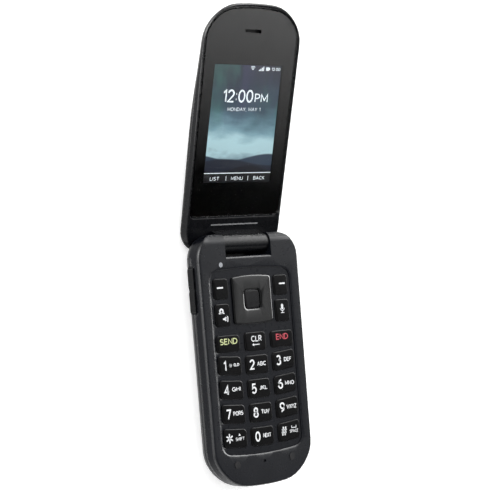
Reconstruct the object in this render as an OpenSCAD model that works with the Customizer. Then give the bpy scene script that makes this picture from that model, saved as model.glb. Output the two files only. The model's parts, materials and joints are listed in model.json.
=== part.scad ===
// Clamshell mobile phone with a number keypad, a main display and a small outer display.
//
// The frame sits on the base: its origin is the middle of the flat back, +X runs to the right
// of the keys, +Y towards the hinge and +Z out of the keys. The pieces of the lid are drawn in
// the lid's own frame (X across, Y from the hinge axis to the free end, Z out of the inner
// face, zero on that face), and lid_place() swings them to the opening angle.

/* [Base] */
// Width of the base at its foot
base_foot_w = 53.8; // [52.6:0.1:55.4]
// Width of the base beside the hinge
base_hinge_w = 55.0; // [54:0.1:56.6]
// Length of the base from its foot to the back of the hinge
base_len = 104.6; // [104:0.1:108]
// Thickness of the base
base_t = 10.3; // [10.3:0.1:11.2]
// Corner radius at the free ends of both halves
free_corner_r = 16; // [14:0.5:18]
// How far the free ends of both halves bulge in the middle
free_end_bulge = 3; // [2:0.1:3.2]
// Corner radius of the base beside the hinge
base_corner_r = 10.4; // [9:0.1:11]
// How far the rounded back edge of the base draws in
base_back_round = 4.6; // [3.6:0.1:4.8]
// Height of the rounded back edge of the base
base_back_rise = 5; // [4:0.1:5]
// Rounding between the sides and the keypad face
base_front_round = 0.8; // [0.4:0.1:1]
// Side wall of the base
base_wall = 1.3; // [1.1:0.05:1.5]
// Back wall of the base
base_back_wall = 1.6; // [1.4:0.05:1.7]
// Face wall of the base
base_face_wall = 1.4; // [1.3:0.05:1.5]
// Height of the parting line between the front and rear shells
base_split_z = 5.2; // [5:0.05:5.4]

/* [Hinge] */
// Distance from the hinge axis to the back end of the base
hinge_inset = 4.2; // [4:0.05:4.6]
// Depth of the hinge axis below the keypad face
hinge_drop = 4.75; // [4.6:0.05:5]
// Gap between the two halves when the phone is closed
closed_gap = 0.3; // [0.3:0.05:0.6]
// Opening angle of the lid from closed
open_angle = 164; // [150:1:166]
// Width of the notch that holds the lid's barrel
notch_w = 25.1; // [24.5:0.1:26.5]
// Distance from the hinge axis to the floor of the notch
notch_depth = 5.2; // [5:0.1:5.6]
// Rounding of the edge between the keypad face and the notch
notch_round = 1.2; // [0.8:0.1:1.4]
// Wall between the notch and the inside of the base
notch_wall = 1.2; // [1:0.05:1.4]
// Radius of the barrel on the lid
barrel_r = 4.1; // [3.9:0.05:4.3]
// Gap between each end of the barrel and the base
barrel_gap = 0.25; // [0.2:0.05:0.4]
// Radius of the hinge cartridge
can_r = 2.8; // [2.6:0.05:2.9]
// Wall of the hinge cartridge
can_wall = 0.5; // [0.4:0.05:0.6]
// Length of the hinge cartridge
can_len = 11; // [10.5:0.1:11.2]
// Radius of the cam inside the cartridge
cam_r = 2.2; // [2.05:0.05:2.25]
// Length of the cam inside the cartridge
cam_len = 4.6; // [4:0.1:5]
// Radius of the shaft's neck
shaft_neck_r = 1.25; // [1.1:0.05:1.5]
// Radius of the shaft's end that is held in the base
shaft_end_r = 2.4; // [2.2:0.05:2.6]
// Length of the shaft's end that is held in the base
shaft_end_len = 4.6; // [4:0.1:5]
// Radius of the hollow pivot on the flexible circuit's side
pivot_r = 2.7; // [2.5:0.05:2.8]
// Length of the hollow pivot
pivot_len = 2.5; // [2:0.1:3]
// Radius of the passage through the pivot
pivot_bore_r = 2.0; // [1.8:0.05:2.1]
// Radial clearance of parts that turn on the hinge
turn_clearance = 0.05; // [0.03:0.01:0.08]
// Wire radius of the hinge spring
spring_wire_r = 0.25; // [0.2:0.05:0.3]
// Number of turns of the hinge spring
spring_turns = 5; // [4:1:6]
// Radius of the rolled flexible circuit in the hinge
flex_roll_r = 1.6; // [1.4:0.05:1.7]
// Thickness of the flexible circuit
flex_t = 0.15; // [0.1:0.01:0.2]
// Width of the flexible circuit in the lid
flex_w = 5; // [4:0.1:6]

/* [Lid] */
// How far the lid stops short of the base's foot when it is closed
lid_short = 1; // [0.6:0.1:1.2]
// Width of the lid at its free end
lid_free_w = 53; // [52.4:0.1:54]
// Width of the lid beside the hinge
lid_hinge_w = 50.4; // [49.6:0.1:52]
// Thickness of the lid at the hinge
lid_t = 6.9; // [6.85:0.05:7.4]
// Thickness of the lid at its free end
lid_free_t = 4.8; // [4.75:0.05:5.4]
// Distance from the hinge axis to where the lid starts to thin
lid_thin_start = 46; // [44:0.5:48]
// Distance from the hinge axis to where the lid is thinnest
lid_thin_end = 94; // [92:0.5:98]
// Corner radius of the lid beside the hinge
lid_corner_r = 9; // [8:0.1:10]
// How far the rounded outer edge of the lid draws in beside the hinge
lid_back_round = 4.2; // [3:0.1:4.4]
// How far the rounded outer edge of the lid draws in at the free end
lid_free_round = 10.5; // [9:0.1:10.8]
// Height of the rounded outer edge of the lid beside the hinge
lid_back_rise = 3.6; // [3:0.1:3.7]
// Height of the rounded outer edge of the lid at the free end
lid_free_rise = 4; // [3.6:0.1:4.1]
// Rounding between the sides and the inner face of the lid
lid_face_round = 0.6; // [0.4:0.1:0.6]
// Side wall of the lid
lid_wall = 1.3; // [1.1:0.05:1.5]
// Wall behind the inner face of the lid
lid_face_wall = 1.7; // [1.65:0.05:1.8]
// Outer wall of the lid
lid_back_wall = 1; // [0.95:0.01:1.05]
// Depth of the lid's parting line below its inner face
lid_split = 3.2; // [3:0.05:3.25]
// Distance from the hinge axis to the start of the lid's hollow
lid_hollow_start = 1.5; // [1:0.1:2]

/* [Main display] */
// Width of the lens over the main display
lens_w = 49.6; // [49:0.1:50.2]
// Distance from the hinge axis to the lower edge of the lens
lens_start = 10.75; // [10:0.05:12]
// Distance from the free end of the lid to the lens
lens_end_gap = 2.1; // [2:0.1:2.6]
// Thickness of the lens
lens_t = 0.8; // [0.7:0.05:0.85]
// Depth of the lens below the inner face
lens_sink = 0.3; // [0.2:0.01:0.35]
// Width of the bevel round the lens
lens_bevel = 0.7; // [0.4:0.05:0.8]
// Gap around the lens in its seat
lens_gap = 0.1; // [0.05:0.01:0.15]
// Width of the picture on the main display
picture_w = 36.8; // [35:0.1:38]
// Height of the picture on the main display
picture_h = 49; // [47:0.1:50]
// Distance from the hinge axis to the middle of the picture
picture_mid = 49.4; // [48.5:0.1:50]
// Width of the main display's module
module_w = 41; // [40:0.1:41.2]
// Height of the main display's module
module_h = 57.6; // [57:0.1:58]
// Thickness of the main display's module
module_t = 1.8; // [1.7:0.05:1.9]

/* [Outer display and camera] */
// Width of the outer lens
outer_lens_w = 31; // [30:0.1:33]
// Distance from the hinge axis to the lower edge of the outer lens
outer_lens_start = 7.6; // [7.2:0.1:8]
// Length of the outer lens
outer_lens_len = 42; // [41:0.1:43]
// Corner radius of the outer lens
outer_lens_corner_r = 5; // [4:0.1:6]
// Thickness of the outer lens
outer_lens_t = 0.55; // [0.5:0.01:0.6]
// Width of the outer display's module
outer_module_w = 26; // [25:0.1:27]
// Height of the outer display's module
outer_module_h = 20; // [19:0.1:21]
// Thickness of the outer display's module
outer_module_t = 1; // [0.8:0.05:1.05]
// Distance from the hinge axis to the middle of the outer display
outer_mid = 39; // [38:0.1:40]
// Distance from the hinge axis to the middle of the camera
camera_mid = 14; // [13.8:0.1:14.4]
// Side of the camera module
camera_side = 6; // [5.8:0.1:6.2]
// Radius of the camera's barrel
camera_barrel_r = 2.3; // [2:0.05:2.5]
// Radius of the camera's lens ring
camera_ring_r = 3.6; // [3.4:0.05:3.8]

/* [Keypad] */
// Width of the sunken key field
field_w = 44; // [43.4:0.1:44.4]
// Distance from the hinge axis to the top edge of the key field
field_top = 10.2; // [10:0.1:10.8]
// Length of the key field
field_len = 77.2; // [76.6:0.1:78]
// Corner radius of the key field
field_corner_r = 4; // [3.5:0.1:4.5]
// How far the top edge of the key field arches up
field_top_arch = 1.2; // [1:0.1:1.5]
// How far the bottom edge of the key field sags
field_foot_sag = 1.6; // [1.2:0.1:1.8]
// Depth of the key field below the face
field_depth = 0.6; // [0.5:0.05:0.7]
// Width of the bevel round the key field
field_bevel = 0.8; // [0.4:0.05:0.9]
// Gap around each key in its opening
key_gap = 0.18; // [0.12:0.01:0.25]
// Travel of every key
key_travel = 0.3; // [0.2:0.01:0.3]
// Height of the ordinary keys over the sunken key field
key_rise = 0.45; // [0.35:0.05:0.5]
// Edge bevel of the keys
key_bevel = 0.35; // [0.25:0.05:0.45]
// Width of a number key
num_w = 12.2; // [12:0.1:12.6]
// Height of a number key
num_h = 7.6; // [7.4:0.1:8]
// Corner radius of the keys
key_corner_r = 1.4; // [1:0.1:1.8]
// Distance between the number columns
num_pitch_x = 14.76; // [14.5:0.01:14.8]
// Distance between the number rows
num_pitch_y = 9.92; // [9.7:0.01:9.96]
// Distance from the hinge axis to the first number row
num_first = 50.05; // [49.8:0.05:50.2]
// How far the middle column sags below the outer ones
num_sag = 0.6; // [0.4:0.01:0.8]
// Width of the send and end keys
call_w = 12.4; // [12:0.1:12.6]
// Height of the send and end keys
call_h = 6.8; // [6.6:0.1:7.2]
// Distance from the hinge axis to the send and end keys
call_mid = 41; // [40.8:0.05:41.2]
// Width of the clear key
clear_w = 11.4; // [11:0.1:11.8]
// Height of the clear key
clear_h = 7.5; // [7.2:0.1:7.8]
// Width of the soft keys, the camera key and the voice key
side_key_w = 7.8; // [7.4:0.1:8]
// Height of the soft keys
soft_h = 8.4; // [8:0.1:8.6]
// Height of the camera and voice keys
lower_side_h = 9.2; // [8.8:0.1:9.4]
// Distance from the middle of the phone to the side keys
side_key_x = 16.4; // [16.2:0.05:16.9]
// Distance from the hinge axis to the soft keys
soft_mid = 18.4; // [18.2:0.05:18.6]
// Distance from the hinge axis to the camera and voice keys
lower_side_mid = 29.2; // [29:0.05:29.4]
// Width of the navigation ring
nav_w = 21; // [20.6:0.1:21.2]
// Height of the navigation ring at its corners
nav_h = 18.8; // [18.4:0.1:19]
// How far the ends of the navigation ring bulge
nav_bulge = 0.7; // [0.5:0.05:0.9]
// Corner radius of the navigation ring
nav_corner_r = 0.9; // [0.7:0.1:1.6]
// Width of the bevel round the navigation ring
nav_bevel = 0.6; // [0.4:0.05:0.7]
// Distance from the hinge axis to the middle of the navigation ring
nav_mid = 23.6; // [23.4:0.05:23.8]
// Height of the navigation ring over the sunken key field
nav_rise = 0.85; // [0.7:0.05:0.9]
// Width of the OK key
ok_w = 8.2; // [7.8:0.1:8.8]
// Height of the OK key
ok_h = 7.4; // [7:0.1:8]
// Width of the sloping well round the OK key
nav_well = 1.2; // [0.8:0.05:1.3]

/* [Inside the base] */
// Thickness of the main board
board_t = 0.7; // [0.6:0.05:0.8]
// Depth of the board's key side below the face
board_depth = 2.25; // [2.2:0.01:2.3]
// Gap between the board and the side walls
board_gap = 0.4; // [0.3:0.05:0.6]
// Thickness of the dome sheet
dome_sheet_t = 0.15; // [0.1:0.01:0.18]
// Thickness of the silicone sheet
mat_t = 0.2; // [0.15:0.01:0.22]
// Width of the battery pack
battery_w = 36; // [34:0.1:37]
// Length of the battery pack
battery_len = 56; // [54:0.1:57]
// Thickness of the battery pack
battery_t = 4.3; // [4:0.05:4.4]
// Distance from the hinge axis to the battery bay
bay_start = 26; // [25.6:0.1:26.4]
// Gap around the battery pack in its bay
bay_gap = 0.2; // [0.15:0.01:0.3]
// Wall of the battery bay
bay_wall = 0.8; // [0.6:0.05:1]
// Thickness of the battery cover
cover_t = 0.8; // [0.7:0.05:0.9]
// Width of the battery cover
cover_w = 43; // [41:0.1:43.6]
// Overlap of the battery cover past the bay at each end
cover_lap = 3; // [2.6:0.1:3.2]
// Gap around the battery cover
cover_gap = 0.12; // [0.08:0.01:0.2]

/* [Ports and side parts] */
// Radius of the headset plug's bore
jack_bore_r = 1.78; // [1.76:0.01:1.8]
// Length of the headset plug's bore
jack_bore_len = 13; // [12:0.1:13.2]
// Distance from the hinge axis to the headset jack
jack_mid = 20; // [19.6:0.1:20.2]
// Distance from the hinge axis to the charging port
usb_mid = 60; // [56:0.1:64]
// Width of the charging port
usb_w = 7.5; // [7.2:0.1:8]
// Height of the charging port
usb_h = 2.5; // [2.3:0.05:2.5]
// Depth of the charging port
usb_len = 5.2; // [5:0.1:5.6]
// Distance from the hinge axis to the middle of the volume rocker
rocker_mid = 18.25; // [18:0.05:18.5]
// Length of the volume rocker
rocker_len = 18.5; // [17:0.1:19]
// Height of the volume rocker
rocker_h = 3.4; // [3:0.1:3.6]
// How far the volume rocker stands out of the side
rocker_proud = 0.6; // [0.4:0.05:0.8]
// Angle that the volume rocker tilts to each side
rocker_tilt = 2; // [1:0.1:2]
// Distance from the hinge axis to the status light
led_mid = 8.5; // [8.3:0.1:8.8]
// Distance from the middle of the phone to the status light
led_x = 15.6; // [15:0.1:17]
// Radius of the status light
led_r = 1; // [0.8:0.05:1.1]
// Distance from the middle of the phone to the bumpers
bumper_x = 15.1; // [14:0.1:15.5]
// Distance from the hinge axis to the bumpers and the microphone hole
bumper_mid = 90.5; // [90.2:0.1:91]
// Radius of the bumpers
bumper_r = 1.5; // [1.2:0.1:1.6]
// Height of the bumpers over the face
bumper_rise = 0.22; // [0.15:0.01:0.25]
// Radius of the microphone hole
mic_hole_r = 0.6; // [0.5:0.05:0.7]

/* [Fasteners] */
// Radius of the screw shanks
screw_r = 0.7; // [0.6:0.05:0.8]
// Radius of the screw heads
screw_head_r = 1.3; // [1.2:0.05:1.4]
// Height of the screw heads
screw_head_h = 0.7; // [0.5:0.05:0.7]
// Length of the base screws under the head
base_screw_len = 5.2; // [4.6:0.1:5.4]
// Wall around each screw
boss_wall = 1.1; // [1:0.05:1.2]
// Distance from the side of the base to the upper base screws
base_screw_side = 5.1; // [4.9:0.05:5.3]
// Distance from the hinge axis to the upper base screws
base_screw_top = 9.9; // [9.7:0.05:10]
// Distance from the side of the base to the lower base screws
foot_screw_side = 8.95; // [8.6:0.05:9.3]
// Distance from the hinge axis to the lower base screws
foot_screw_mid = 90.6; // [90:0.1:91]
// Distance from the middle of the lid to its screws
lid_screw_x = 20.2; // [20:0.05:20.4]
// Distance from the hinge axis to the lower lid screws
lid_screw_low = 14.8; // [14.4:0.1:14.9]
// Distance from the free end of the lid to the upper lid screws
lid_screw_end = 14.9; // [14.4:0.1:15.6]

/* [Hidden] */
$fn = 48;

// Small overlap that lets a cut run past the face it opens
over = 0.5;

// Hinge axis in the base's frame, and its height over the lid's inner face
hinge_y = base_len / 2 - hinge_inset;
hinge_z = base_t - hinge_drop;
axis_over_lid = hinge_drop + closed_gap;
ear_r = hinge_drop;
notch_y = hinge_y - notch_depth;
hollow_end_y = notch_y - notch_wall;
barrel_half = notch_w / 2 - barrel_gap;
lid_end = hinge_y + base_len / 2 - lid_short;

// Heights in the base
board_top = base_t - board_depth;
board_under = board_top - board_t;
face_under = base_t - base_face_wall;
field_z = base_t - field_depth;
mat_top = face_under - key_travel;
cap_bottom = face_under + 0.05;
bay_y1 = hinge_y - bay_start;
bay_len = battery_len + 2 * bay_gap;
bay_y0 = bay_y1 - bay_len;
bay_w = battery_w + 2 * bay_gap;
battery_lift = 0.1;
bay_top = cover_t + battery_lift + battery_t + bay_gap;

// ---------------------------------------------------------------- shared shapes

// Points of an arc about c, from angle a0 to a1 in n steps
function arc_points(c, r, a0, a1, n) =
    [for (i = [0:n]) c + r * [cos(a0 + (a1 - a0) * i / n), sin(a0 + (a1 - a0) * i / n)]];

// Counter-clockwise rectangle with lower corners of r0, upper corners of r1, n steps a corner,
// m steps along the lower and the upper edge and s steps along each side
function round_rect(x0, x1, y0, y1, r0, r1, n, m, s = 1) = concat(
    [for (i = [1:1:m - 1]) [x0 + r0 + (x1 - x0 - 2 * r0) * i / m, y0]],
    arc_points([x1 - r0, y0 + r0], r0, -90, 0, n),
    [for (i = [1:1:s - 1]) [x1, y0 + r0 + (y1 - y0 - r0 - r1) * i / s]],
    arc_points([x1 - r1, y1 - r1], r1, 0, 90, n),
    [for (i = [1:1:m - 1]) [x1 - r1 - (x1 - x0 - 2 * r1) * i / m, y1]],
    arc_points([x0 + r1, y1 - r1], r1, 90, 180, n),
    [for (i = [1:1:s - 1]) [x0, y1 - r1 - (y1 - y0 - r0 - r1) * i / s]],
    arc_points([x0 + r0, y0 + r0], r0, 180, 270, n)
);

// Outline of one half of the phone, drawn in by d: w0 and w1 are the widths at y0 and y1, and
// the end at y0 bulges by bulge
end_steps = 8;
function half_outline(w0, w1, y0, y1, r0, r1, bulge, d, s = 1) = [
    for (p = round_rect(-w0 / 2 + d, w0 / 2 - d, y0 + d, y1 - d, r0 - d, r1 - d, 8, end_steps, s))
        let (half = (w0 + (w1 - w0) * (p.y - y0) / (y1 - y0)) / 2,
             x = p.x * (half - d) / (w0 / 2 - d),
             t = min(1, max(0, (y0 + r0 - p.y) / (r0 - d))))
        [x, p.y + bulge * t * pow(2 * x / w0, 2)]
];

function turned(points) = [for (p = points) [-p.x, -p.y]];

// Outline of the base and of the hollow inside it
function base_outline(d) = half_outline(base_foot_w, base_hinge_w, -base_len / 2,
    base_len / 2, free_corner_r, base_corner_r, free_end_bulge, d);
// Distance from the middle to the base's side at y
function base_side(y) = (base_foot_w + (base_hinge_w - base_foot_w) * (y / base_len + 0.5)) / 2;
hollow_corner_r = 2;
function hollow_outline(d) = half_outline(base_foot_w, 2 * base_side(hollow_end_y + base_wall),
    -base_len / 2, hollow_end_y + base_wall, free_corner_r, base_wall + hollow_corner_r,
    free_end_bulge, d);

// Outline of the lid in its own frame, from start to the free end
function lid_outline(start, d) = turned(half_outline(lid_free_w, lid_hinge_w, -lid_end,
    -start, free_corner_r, lid_corner_r, free_end_bulge, d, 12));

// Share of the free end's thinning that the lid has at y, and the level of its back there
function thinned(y) =
    let (t = min(1, max(0, (y - lid_thin_start) / (lid_thin_end - lid_thin_start))))
    t * t * (3 - 2 * t);
function lid_back_z(y) = -lid_t + (lid_t - lid_free_t) * thinned(y);

// Profile points [height, inset] of a rounded back edge and of a rounded face edge
function back_edge(z, rise, round_in, n, sweep = 90) =
    [for (i = [0:n]) [z + rise * (1 - cos(sweep * i / n)), round_in * (1 - sin(sweep * i / n))]];
function face_edge(z, r, n) =
    [for (i = [0:n]) [z - r * (1 - sin(90 * i / n)), r * (1 - cos(90 * i / n))]];
function at_height(points, z) = [for (p = points) [p.x, p.y, z]];

// Faces of a cap over an outline's n points that is curved along Y: strips straight across
// from one side to the other, and one polygon along the straight end beside the hinge
function cap_strips(n) =
    let (mid = end_steps / 2 - 1, last = n / 2 - end_steps / 2 - 1)
    concat([[mid + 1, mid - 1, mid]],
           [for (k = [1:last - 1]) [mid + k, mid + k + 1, (mid - k - 1 + n) % n, (mid - k + n) % n]],
           [[for (i = [mid + last:mid + n - last]) i]]);

// Solid through rings of equally many points, from the lowest ring to the highest. The lowest
// ring is flat, or curved along Y only
module loft(rings, curved = false) {
    n = len(rings[0]);
    last = (len(rings) - 1) * n;
    polyhedron(
        points = [for (r = rings) each r],
        faces = concat(
            curved ? cap_strips(n) : [[for (i = [0:n - 1]) i]],
            [[for (i = [n - 1:-1:0]) last + i]],
            [for (k = [0:len(rings) - 2], i = [0:n - 1])
                let (a = k * n + i, b = k * n + (i + 1) % n) each [[a, a + n, b + n], [a, b + n, b]]]
        ),
        convexity = 4
    );
}

// Box from corner a to corner b
module span(a, b) { translate(a) cube(b - a); }

// Cylinder along X from x0 to x1 about the point [y, z]
module rod_x(x0, x1, y, z, r) { translate([x0, y, z]) rotate([0, 90, 0]) cylinder(r = r, h = x1 - x0); }

// Cylinder along Z from z0 to z1
module post(x, y, z0, z1, r) { translate([x, y, z0]) cylinder(r = r, h = z1 - z0); }

// Copies at both signs of X
module both_sides() {
    children();
    mirror([1, 0, 0]) children();
}

// Slab of a polygon between two heights
module slab(points, z0, z1) { translate([0, 0, z0]) linear_extrude(z1 - z0) polygon(points); }

// Plane figure in Y and Z, drawn out along X from x0 to x1
module along_x(x0, x1) { translate([x0, 0, 0]) rotate([90, 0, 90]) linear_extrude(x1 - x0) children(); }

// Places the lid's frame at the opening angle
module lid_place() {
    translate([0, hinge_y, hinge_z])
        rotate([180 - open_angle, 0, 0])
            translate([0, 0, -axis_over_lid])
                children();
}

// ---------------------------------------------------------------- keys

// Key: name, middle x, middle y, width, height, corner radius, top height, sag of the number
// rows, bulge of both ends, bevel and its height
bevel_slope = 0.6;
nav_bevel_slope = 0.42;
function key(name, x, y, w, h, r = key_corner_r, rise = key_rise, sag = 0, bulge = 0,
             bevel = key_bevel, slope = bevel_slope) =
    [name, x, y, w, h, r, field_z + rise, sag, bulge, bevel, bevel * slope];

NUMBER_NAMES = ["key_1", "key_2", "key_3", "key_4", "key_5", "key_6",
                "key_7", "key_8", "key_9", "key_star", "key_0", "key_hash"];
nav_key = key("nav_ring", 0, hinge_y - nav_mid, nav_w, nav_h, nav_corner_r, nav_rise,
              bulge = nav_bulge, bevel = nav_bevel, slope = nav_bevel_slope);
ok_spec = key("ok_key", 0, hinge_y - nav_mid, ok_w, ok_h);
CAPS = concat(
    [for (i = [0:11]) key(NUMBER_NAMES[i], (i % 3 - 1) * num_pitch_x,
        hinge_y - num_first - floor(i / 3) * num_pitch_y, num_w, num_h, sag = num_sag)],
    [
        key("key_send", -num_pitch_x, hinge_y - call_mid, call_w, call_h),
        key("key_clear", 0, hinge_y - call_mid, clear_w, clear_h),
        key("key_end", num_pitch_x, hinge_y - call_mid, call_w, call_h),
        key("soft_key_left", -side_key_x, hinge_y - soft_mid, side_key_w, soft_h),
        key("soft_key_right", side_key_x, hinge_y - soft_mid, side_key_w, soft_h),
        key("camera_key", -side_key_x, hinge_y - lower_side_mid, side_key_w, lower_side_h),
        key("voice_key", side_key_x, hinge_y - lower_side_mid, side_key_w, lower_side_h),
        ok_spec
    ]
);

// Outline of a key, grown by g on every side
function key_outline(k, g) = [
    for (p = round_rect(k[1] - k[3] / 2 - g, k[1] + k[3] / 2 + g, k[2] - k[4] / 2 - g,
                        k[2] + k[4] / 2 + g, k[5] + g, k[5] + g, 3,
                        k[7] + k[8] > 0 ? 4 : 1))
        [p.x, p.y - k[7] * (1 - pow(p.x / num_pitch_x, 2))
              + sign(p.y - k[2]) * k[8] * (1 - pow(2 * (p.x - k[1]) / k[3], 2))]
];

// Cap of a key, bevelled round its top
module cap_solid(k, bottom) {
    loft([
        at_height(key_outline(k, 0), bottom),
        at_height(key_outline(k, 0), k[6] - k[10]),
        at_height(key_outline(k, -k[9]), k[6])
    ]);
}

module key_cap(k) { color("#33353a") cap_solid(k, cap_bottom); }

// Plate that lets the navigation ring rock about X
nav_pad_t = 0.25;
nav_pad_z = mat_top + 0.3;
nav_pad_rim = 1.6;
module nav_pad() {
    color("#55565a") difference() {
        slab(key_outline(ok_spec, nav_pad_rim), nav_pad_z, nav_pad_z + nav_pad_t);
        slab(key_outline(ok_spec, ok_gap), nav_pad_z - over, nav_pad_z + nav_pad_t + over);
    }
}

// Four-way ring with a sunken well for the OK key
nav_skirt_z = mat_top + 0.44;
nav_lift = 0.2;
ok_gap = 2 * key_gap;
nav_well_depth = (nav_well - ok_gap) * nav_bevel_slope;
module nav_ring() {
    color("#3a3c41") difference() {
        cap_solid(nav_key, nav_skirt_z);
        slab(key_outline(ok_spec, nav_pad_rim + key_gap), nav_skirt_z - over,
             nav_pad_z + nav_pad_t + nav_lift);
        slab(key_outline(ok_spec, ok_gap), nav_skirt_z - over, nav_key[6] + over);
        loft([
            at_height(key_outline(ok_spec, ok_gap), nav_key[6] - nav_well_depth),
            at_height(key_outline(ok_spec, nav_well), nav_key[6] + 0.01)
        ]);
    }
}

// Outline of the sunken key field, grown by g
function field_outline(g) =
    let (top = hinge_y - field_top - field_top_arch,
         foot = hinge_y - field_top - field_len + field_foot_sag)
    [for (p = round_rect(-field_w / 2 - g, field_w / 2 + g, foot - g, top + g,
                         field_corner_r + g, field_corner_r + g, 4, 8))
        let (bow = 1 - pow(2 * p.x / field_w, 2), up = (p.y - foot) / (top - foot))
        [p.x, p.y + (up > 0.5 ? field_top_arch : -field_foot_sag) * max(0, bow)
              * abs(2 * up - 1)]];

// ---------------------------------------------------------------- base shells

boss_r = screw_head_r + boss_wall - 0.6;
pilot_r = screw_r + 0.02;
head_gap = 0.1;
head_seat_z = 2.9;
floor_step = 1.2;
top_screw_y = hinge_y - base_screw_top;
foot_screw_y = hinge_y - foot_screw_mid;
top_screw_x = base_side(top_screw_y) - base_screw_side;
foot_screw_x = base_side(foot_screw_y) - foot_screw_side;
SCREWS = [[top_screw_x, top_screw_y], [-top_screw_x, top_screw_y],
          [foot_screw_x, foot_screw_y], [-foot_screw_x, foot_screw_y]];

module base_whole() {
    profile = concat(back_edge(0, base_back_rise, base_back_round, 6),
                     face_edge(base_t, base_front_round, 3));
    loft([for (p = profile) at_height(base_outline(p[1]), p[0])]);
}

// Everything that the lid's sweep leaves free round the hinge axis, as a side view that passes
// over the faces of the base by this much
ear_view_over = 1;
module ear_side_view() {
    lean = 180 - open_angle;
    touch = [hinge_y + ear_r * sin(lean), hinge_z - ear_r * cos(lean)];
    low_y = touch.x - (touch.y + ear_view_over) / tan(lean);
    translate([hinge_y, hinge_z]) circle(r = ear_r, $fn = 64);
    polygon([[-base_len, -ear_view_over], [low_y, -ear_view_over], touch, [hinge_y, hinge_z],
             [hinge_y, base_t + ear_view_over], [-base_len, base_t + ear_view_over]]);
}

// Slot through the left wall for the rocker
rocker_z = base_split_z;
rocker_y = hinge_y - rocker_mid;
rocker_gap = 0.2;
rocker_wall_x = base_wall - base_side(rocker_y);
module rocker_slot() {
    span([-base_hinge_w, rocker_y - rocker_len / 2 - rocker_gap, rocker_z - rocker_h / 2 - rocker_gap],
         [rocker_wall_x + over, rocker_y + rocker_len / 2 + rocker_gap,
          rocker_z + rocker_h / 2 + rocker_gap]);
}

jack_drop = 0.25;
jack_z = base_split_z - jack_drop;
jack_nose_r = 2.3;
jack_nose_gap = 0.05;
jack_y = hinge_y - jack_mid;
jack_sink = 0.45;
jack_face_x = base_side(jack_y) - jack_sink;
jack_end = 0.8;
jack_body_x = jack_face_x - jack_bore_len - jack_end;
usb_y = hinge_y - usb_mid;
usb_z = board_under - usb_h / 2;
usb_gap = 0.1;
usb_sink = 0.1;
usb_face_x = base_side(usb_y) - usb_sink;
side_reach = max(base_hinge_w, base_foot_w) / 2 + over;

// Openings that both base shells share
module side_openings() {
    step_in = base_wall + floor_step + over;
    rocker_slot();
    rod_x(base_side(jack_y) - step_in, side_reach, jack_y, jack_z, jack_nose_r + jack_nose_gap);
    span([base_side(usb_y) - step_in, usb_y - usb_w / 2 - usb_gap, usb_z - usb_h / 2 - usb_gap],
         [side_reach, usb_y + usb_w / 2 + usb_gap, usb_z + usb_h / 2 + usb_gap]);
}

// Gaps round the light pipe and the shaft's end, and the seats of the bumpers and the pivot
led_gap = 0.05;
shaft_gap = 0.02;
bumper_seat = 0.4;
pivot_pocket = 4;
flex_exit_x = 0.4;
flex_exit_z0 = 0.2;
flex_exit_z1 = 0.9;
boss_overlap = 0.2;
pilot_stop = 0.1;

module front_shell() {
    shaft_x1 = notch_w / 2 + shaft_end_len + end_gap;
    pocket_x0 = -notch_w / 2 - pivot_len - pivot_pocket;
    color("#3b3d42") difference() {
        union() {
            difference() {
                intersection() {
                    base_whole();
                    along_x(-base_hinge_w, base_hinge_w) ear_side_view();
                }
                span([-base_hinge_w, -base_len, -over], [base_hinge_w, notch_y, base_split_z]);
                slab(hollow_outline(base_wall), base_split_z - over, face_under);
            }
            for (s = SCREWS) post(s.x, s.y, base_split_z, face_under + boss_overlap, boss_r);
        }
        span([-notch_w / 2, notch_y, -over], [notch_w / 2, base_len, base_t + over]);
        along_x(-notch_w / 2, notch_w / 2) difference() {
            translate([notch_y - notch_round, base_t - notch_round]) square(notch_round + over);
            translate([notch_y - notch_round, base_t - notch_round]) circle(r = notch_round);
        }
        slab(field_outline(0), field_z, base_t + over);
        loft([at_height(field_outline(0), base_t - field_bevel * nav_bevel_slope),
              at_height(field_outline(field_bevel), base_t + 0.01)]);
        for (k = CAPS) if (k[0] != "ok_key") slab(key_outline(k, key_gap), face_under - over, base_t);
        slab(key_outline(nav_key, key_gap), face_under - over, base_t);
        for (s = SCREWS) post(s.x, s.y, base_split_z - over, face_under - pilot_stop, pilot_r);
        post(-led_x, hinge_y - led_mid, board_top, base_t + over, led_r + led_gap);
        post(0, hinge_y - bumper_mid, face_under - over, base_t + over, mic_hole_r);
        both_sides() post(bumper_x, hinge_y - bumper_mid, base_t - bumper_seat, base_t + over, bumper_r);
        rod_x(notch_w / 2 - over, shaft_x1, hinge_y, hinge_z, shaft_end_r + shaft_gap);
        rod_x(pocket_x0, -notch_w / 2 + over, hinge_y, hinge_z, pivot_r + turn_clearance);
        span([pocket_x0, hollow_end_y - over, hinge_z + flex_exit_z0],
             [-notch_w / 2 - pivot_len - flex_exit_x, hinge_y, hinge_z + flex_exit_z1]);
        side_openings();
    }
}

cover_y1 = bay_y1 + cover_lap;
cover_y0 = bay_y0 - cover_lap;
cover_foot_r = 7;
cover_top_r = 4;
cover_seat = 0.05;
function cover_outline(g) = round_rect(-cover_w / 2 - g, cover_w / 2 + g, cover_y0 - g,
                                       cover_y1 + g, cover_foot_r + g, cover_top_r + g, 5, 2);

speaker_w = 15;
speaker_len = 11;
speaker_t = 3;
speaker_wall = 0.8;
speaker_recess = 0.6;
speaker_gap = 2.1;
speaker_x = jack_body_x - speaker_gap - speaker_w / 2;
speaker_back_gap = 1.5;
speaker_y = hollow_end_y - speaker_len / 2 - speaker_back_gap;
slot_w = 0.9;
slot_half_len = 2.6;
slot_pitch = 2;
lip_t = 1.2;
lip_len = 1.7;
lip_gap = 0.1;
floor_rise = 1.2;
bay_floor = 0.1;
bay_rim = 0.5;
rear_boss_wall = 0.3;
contact_gap = 0.1;

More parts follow.
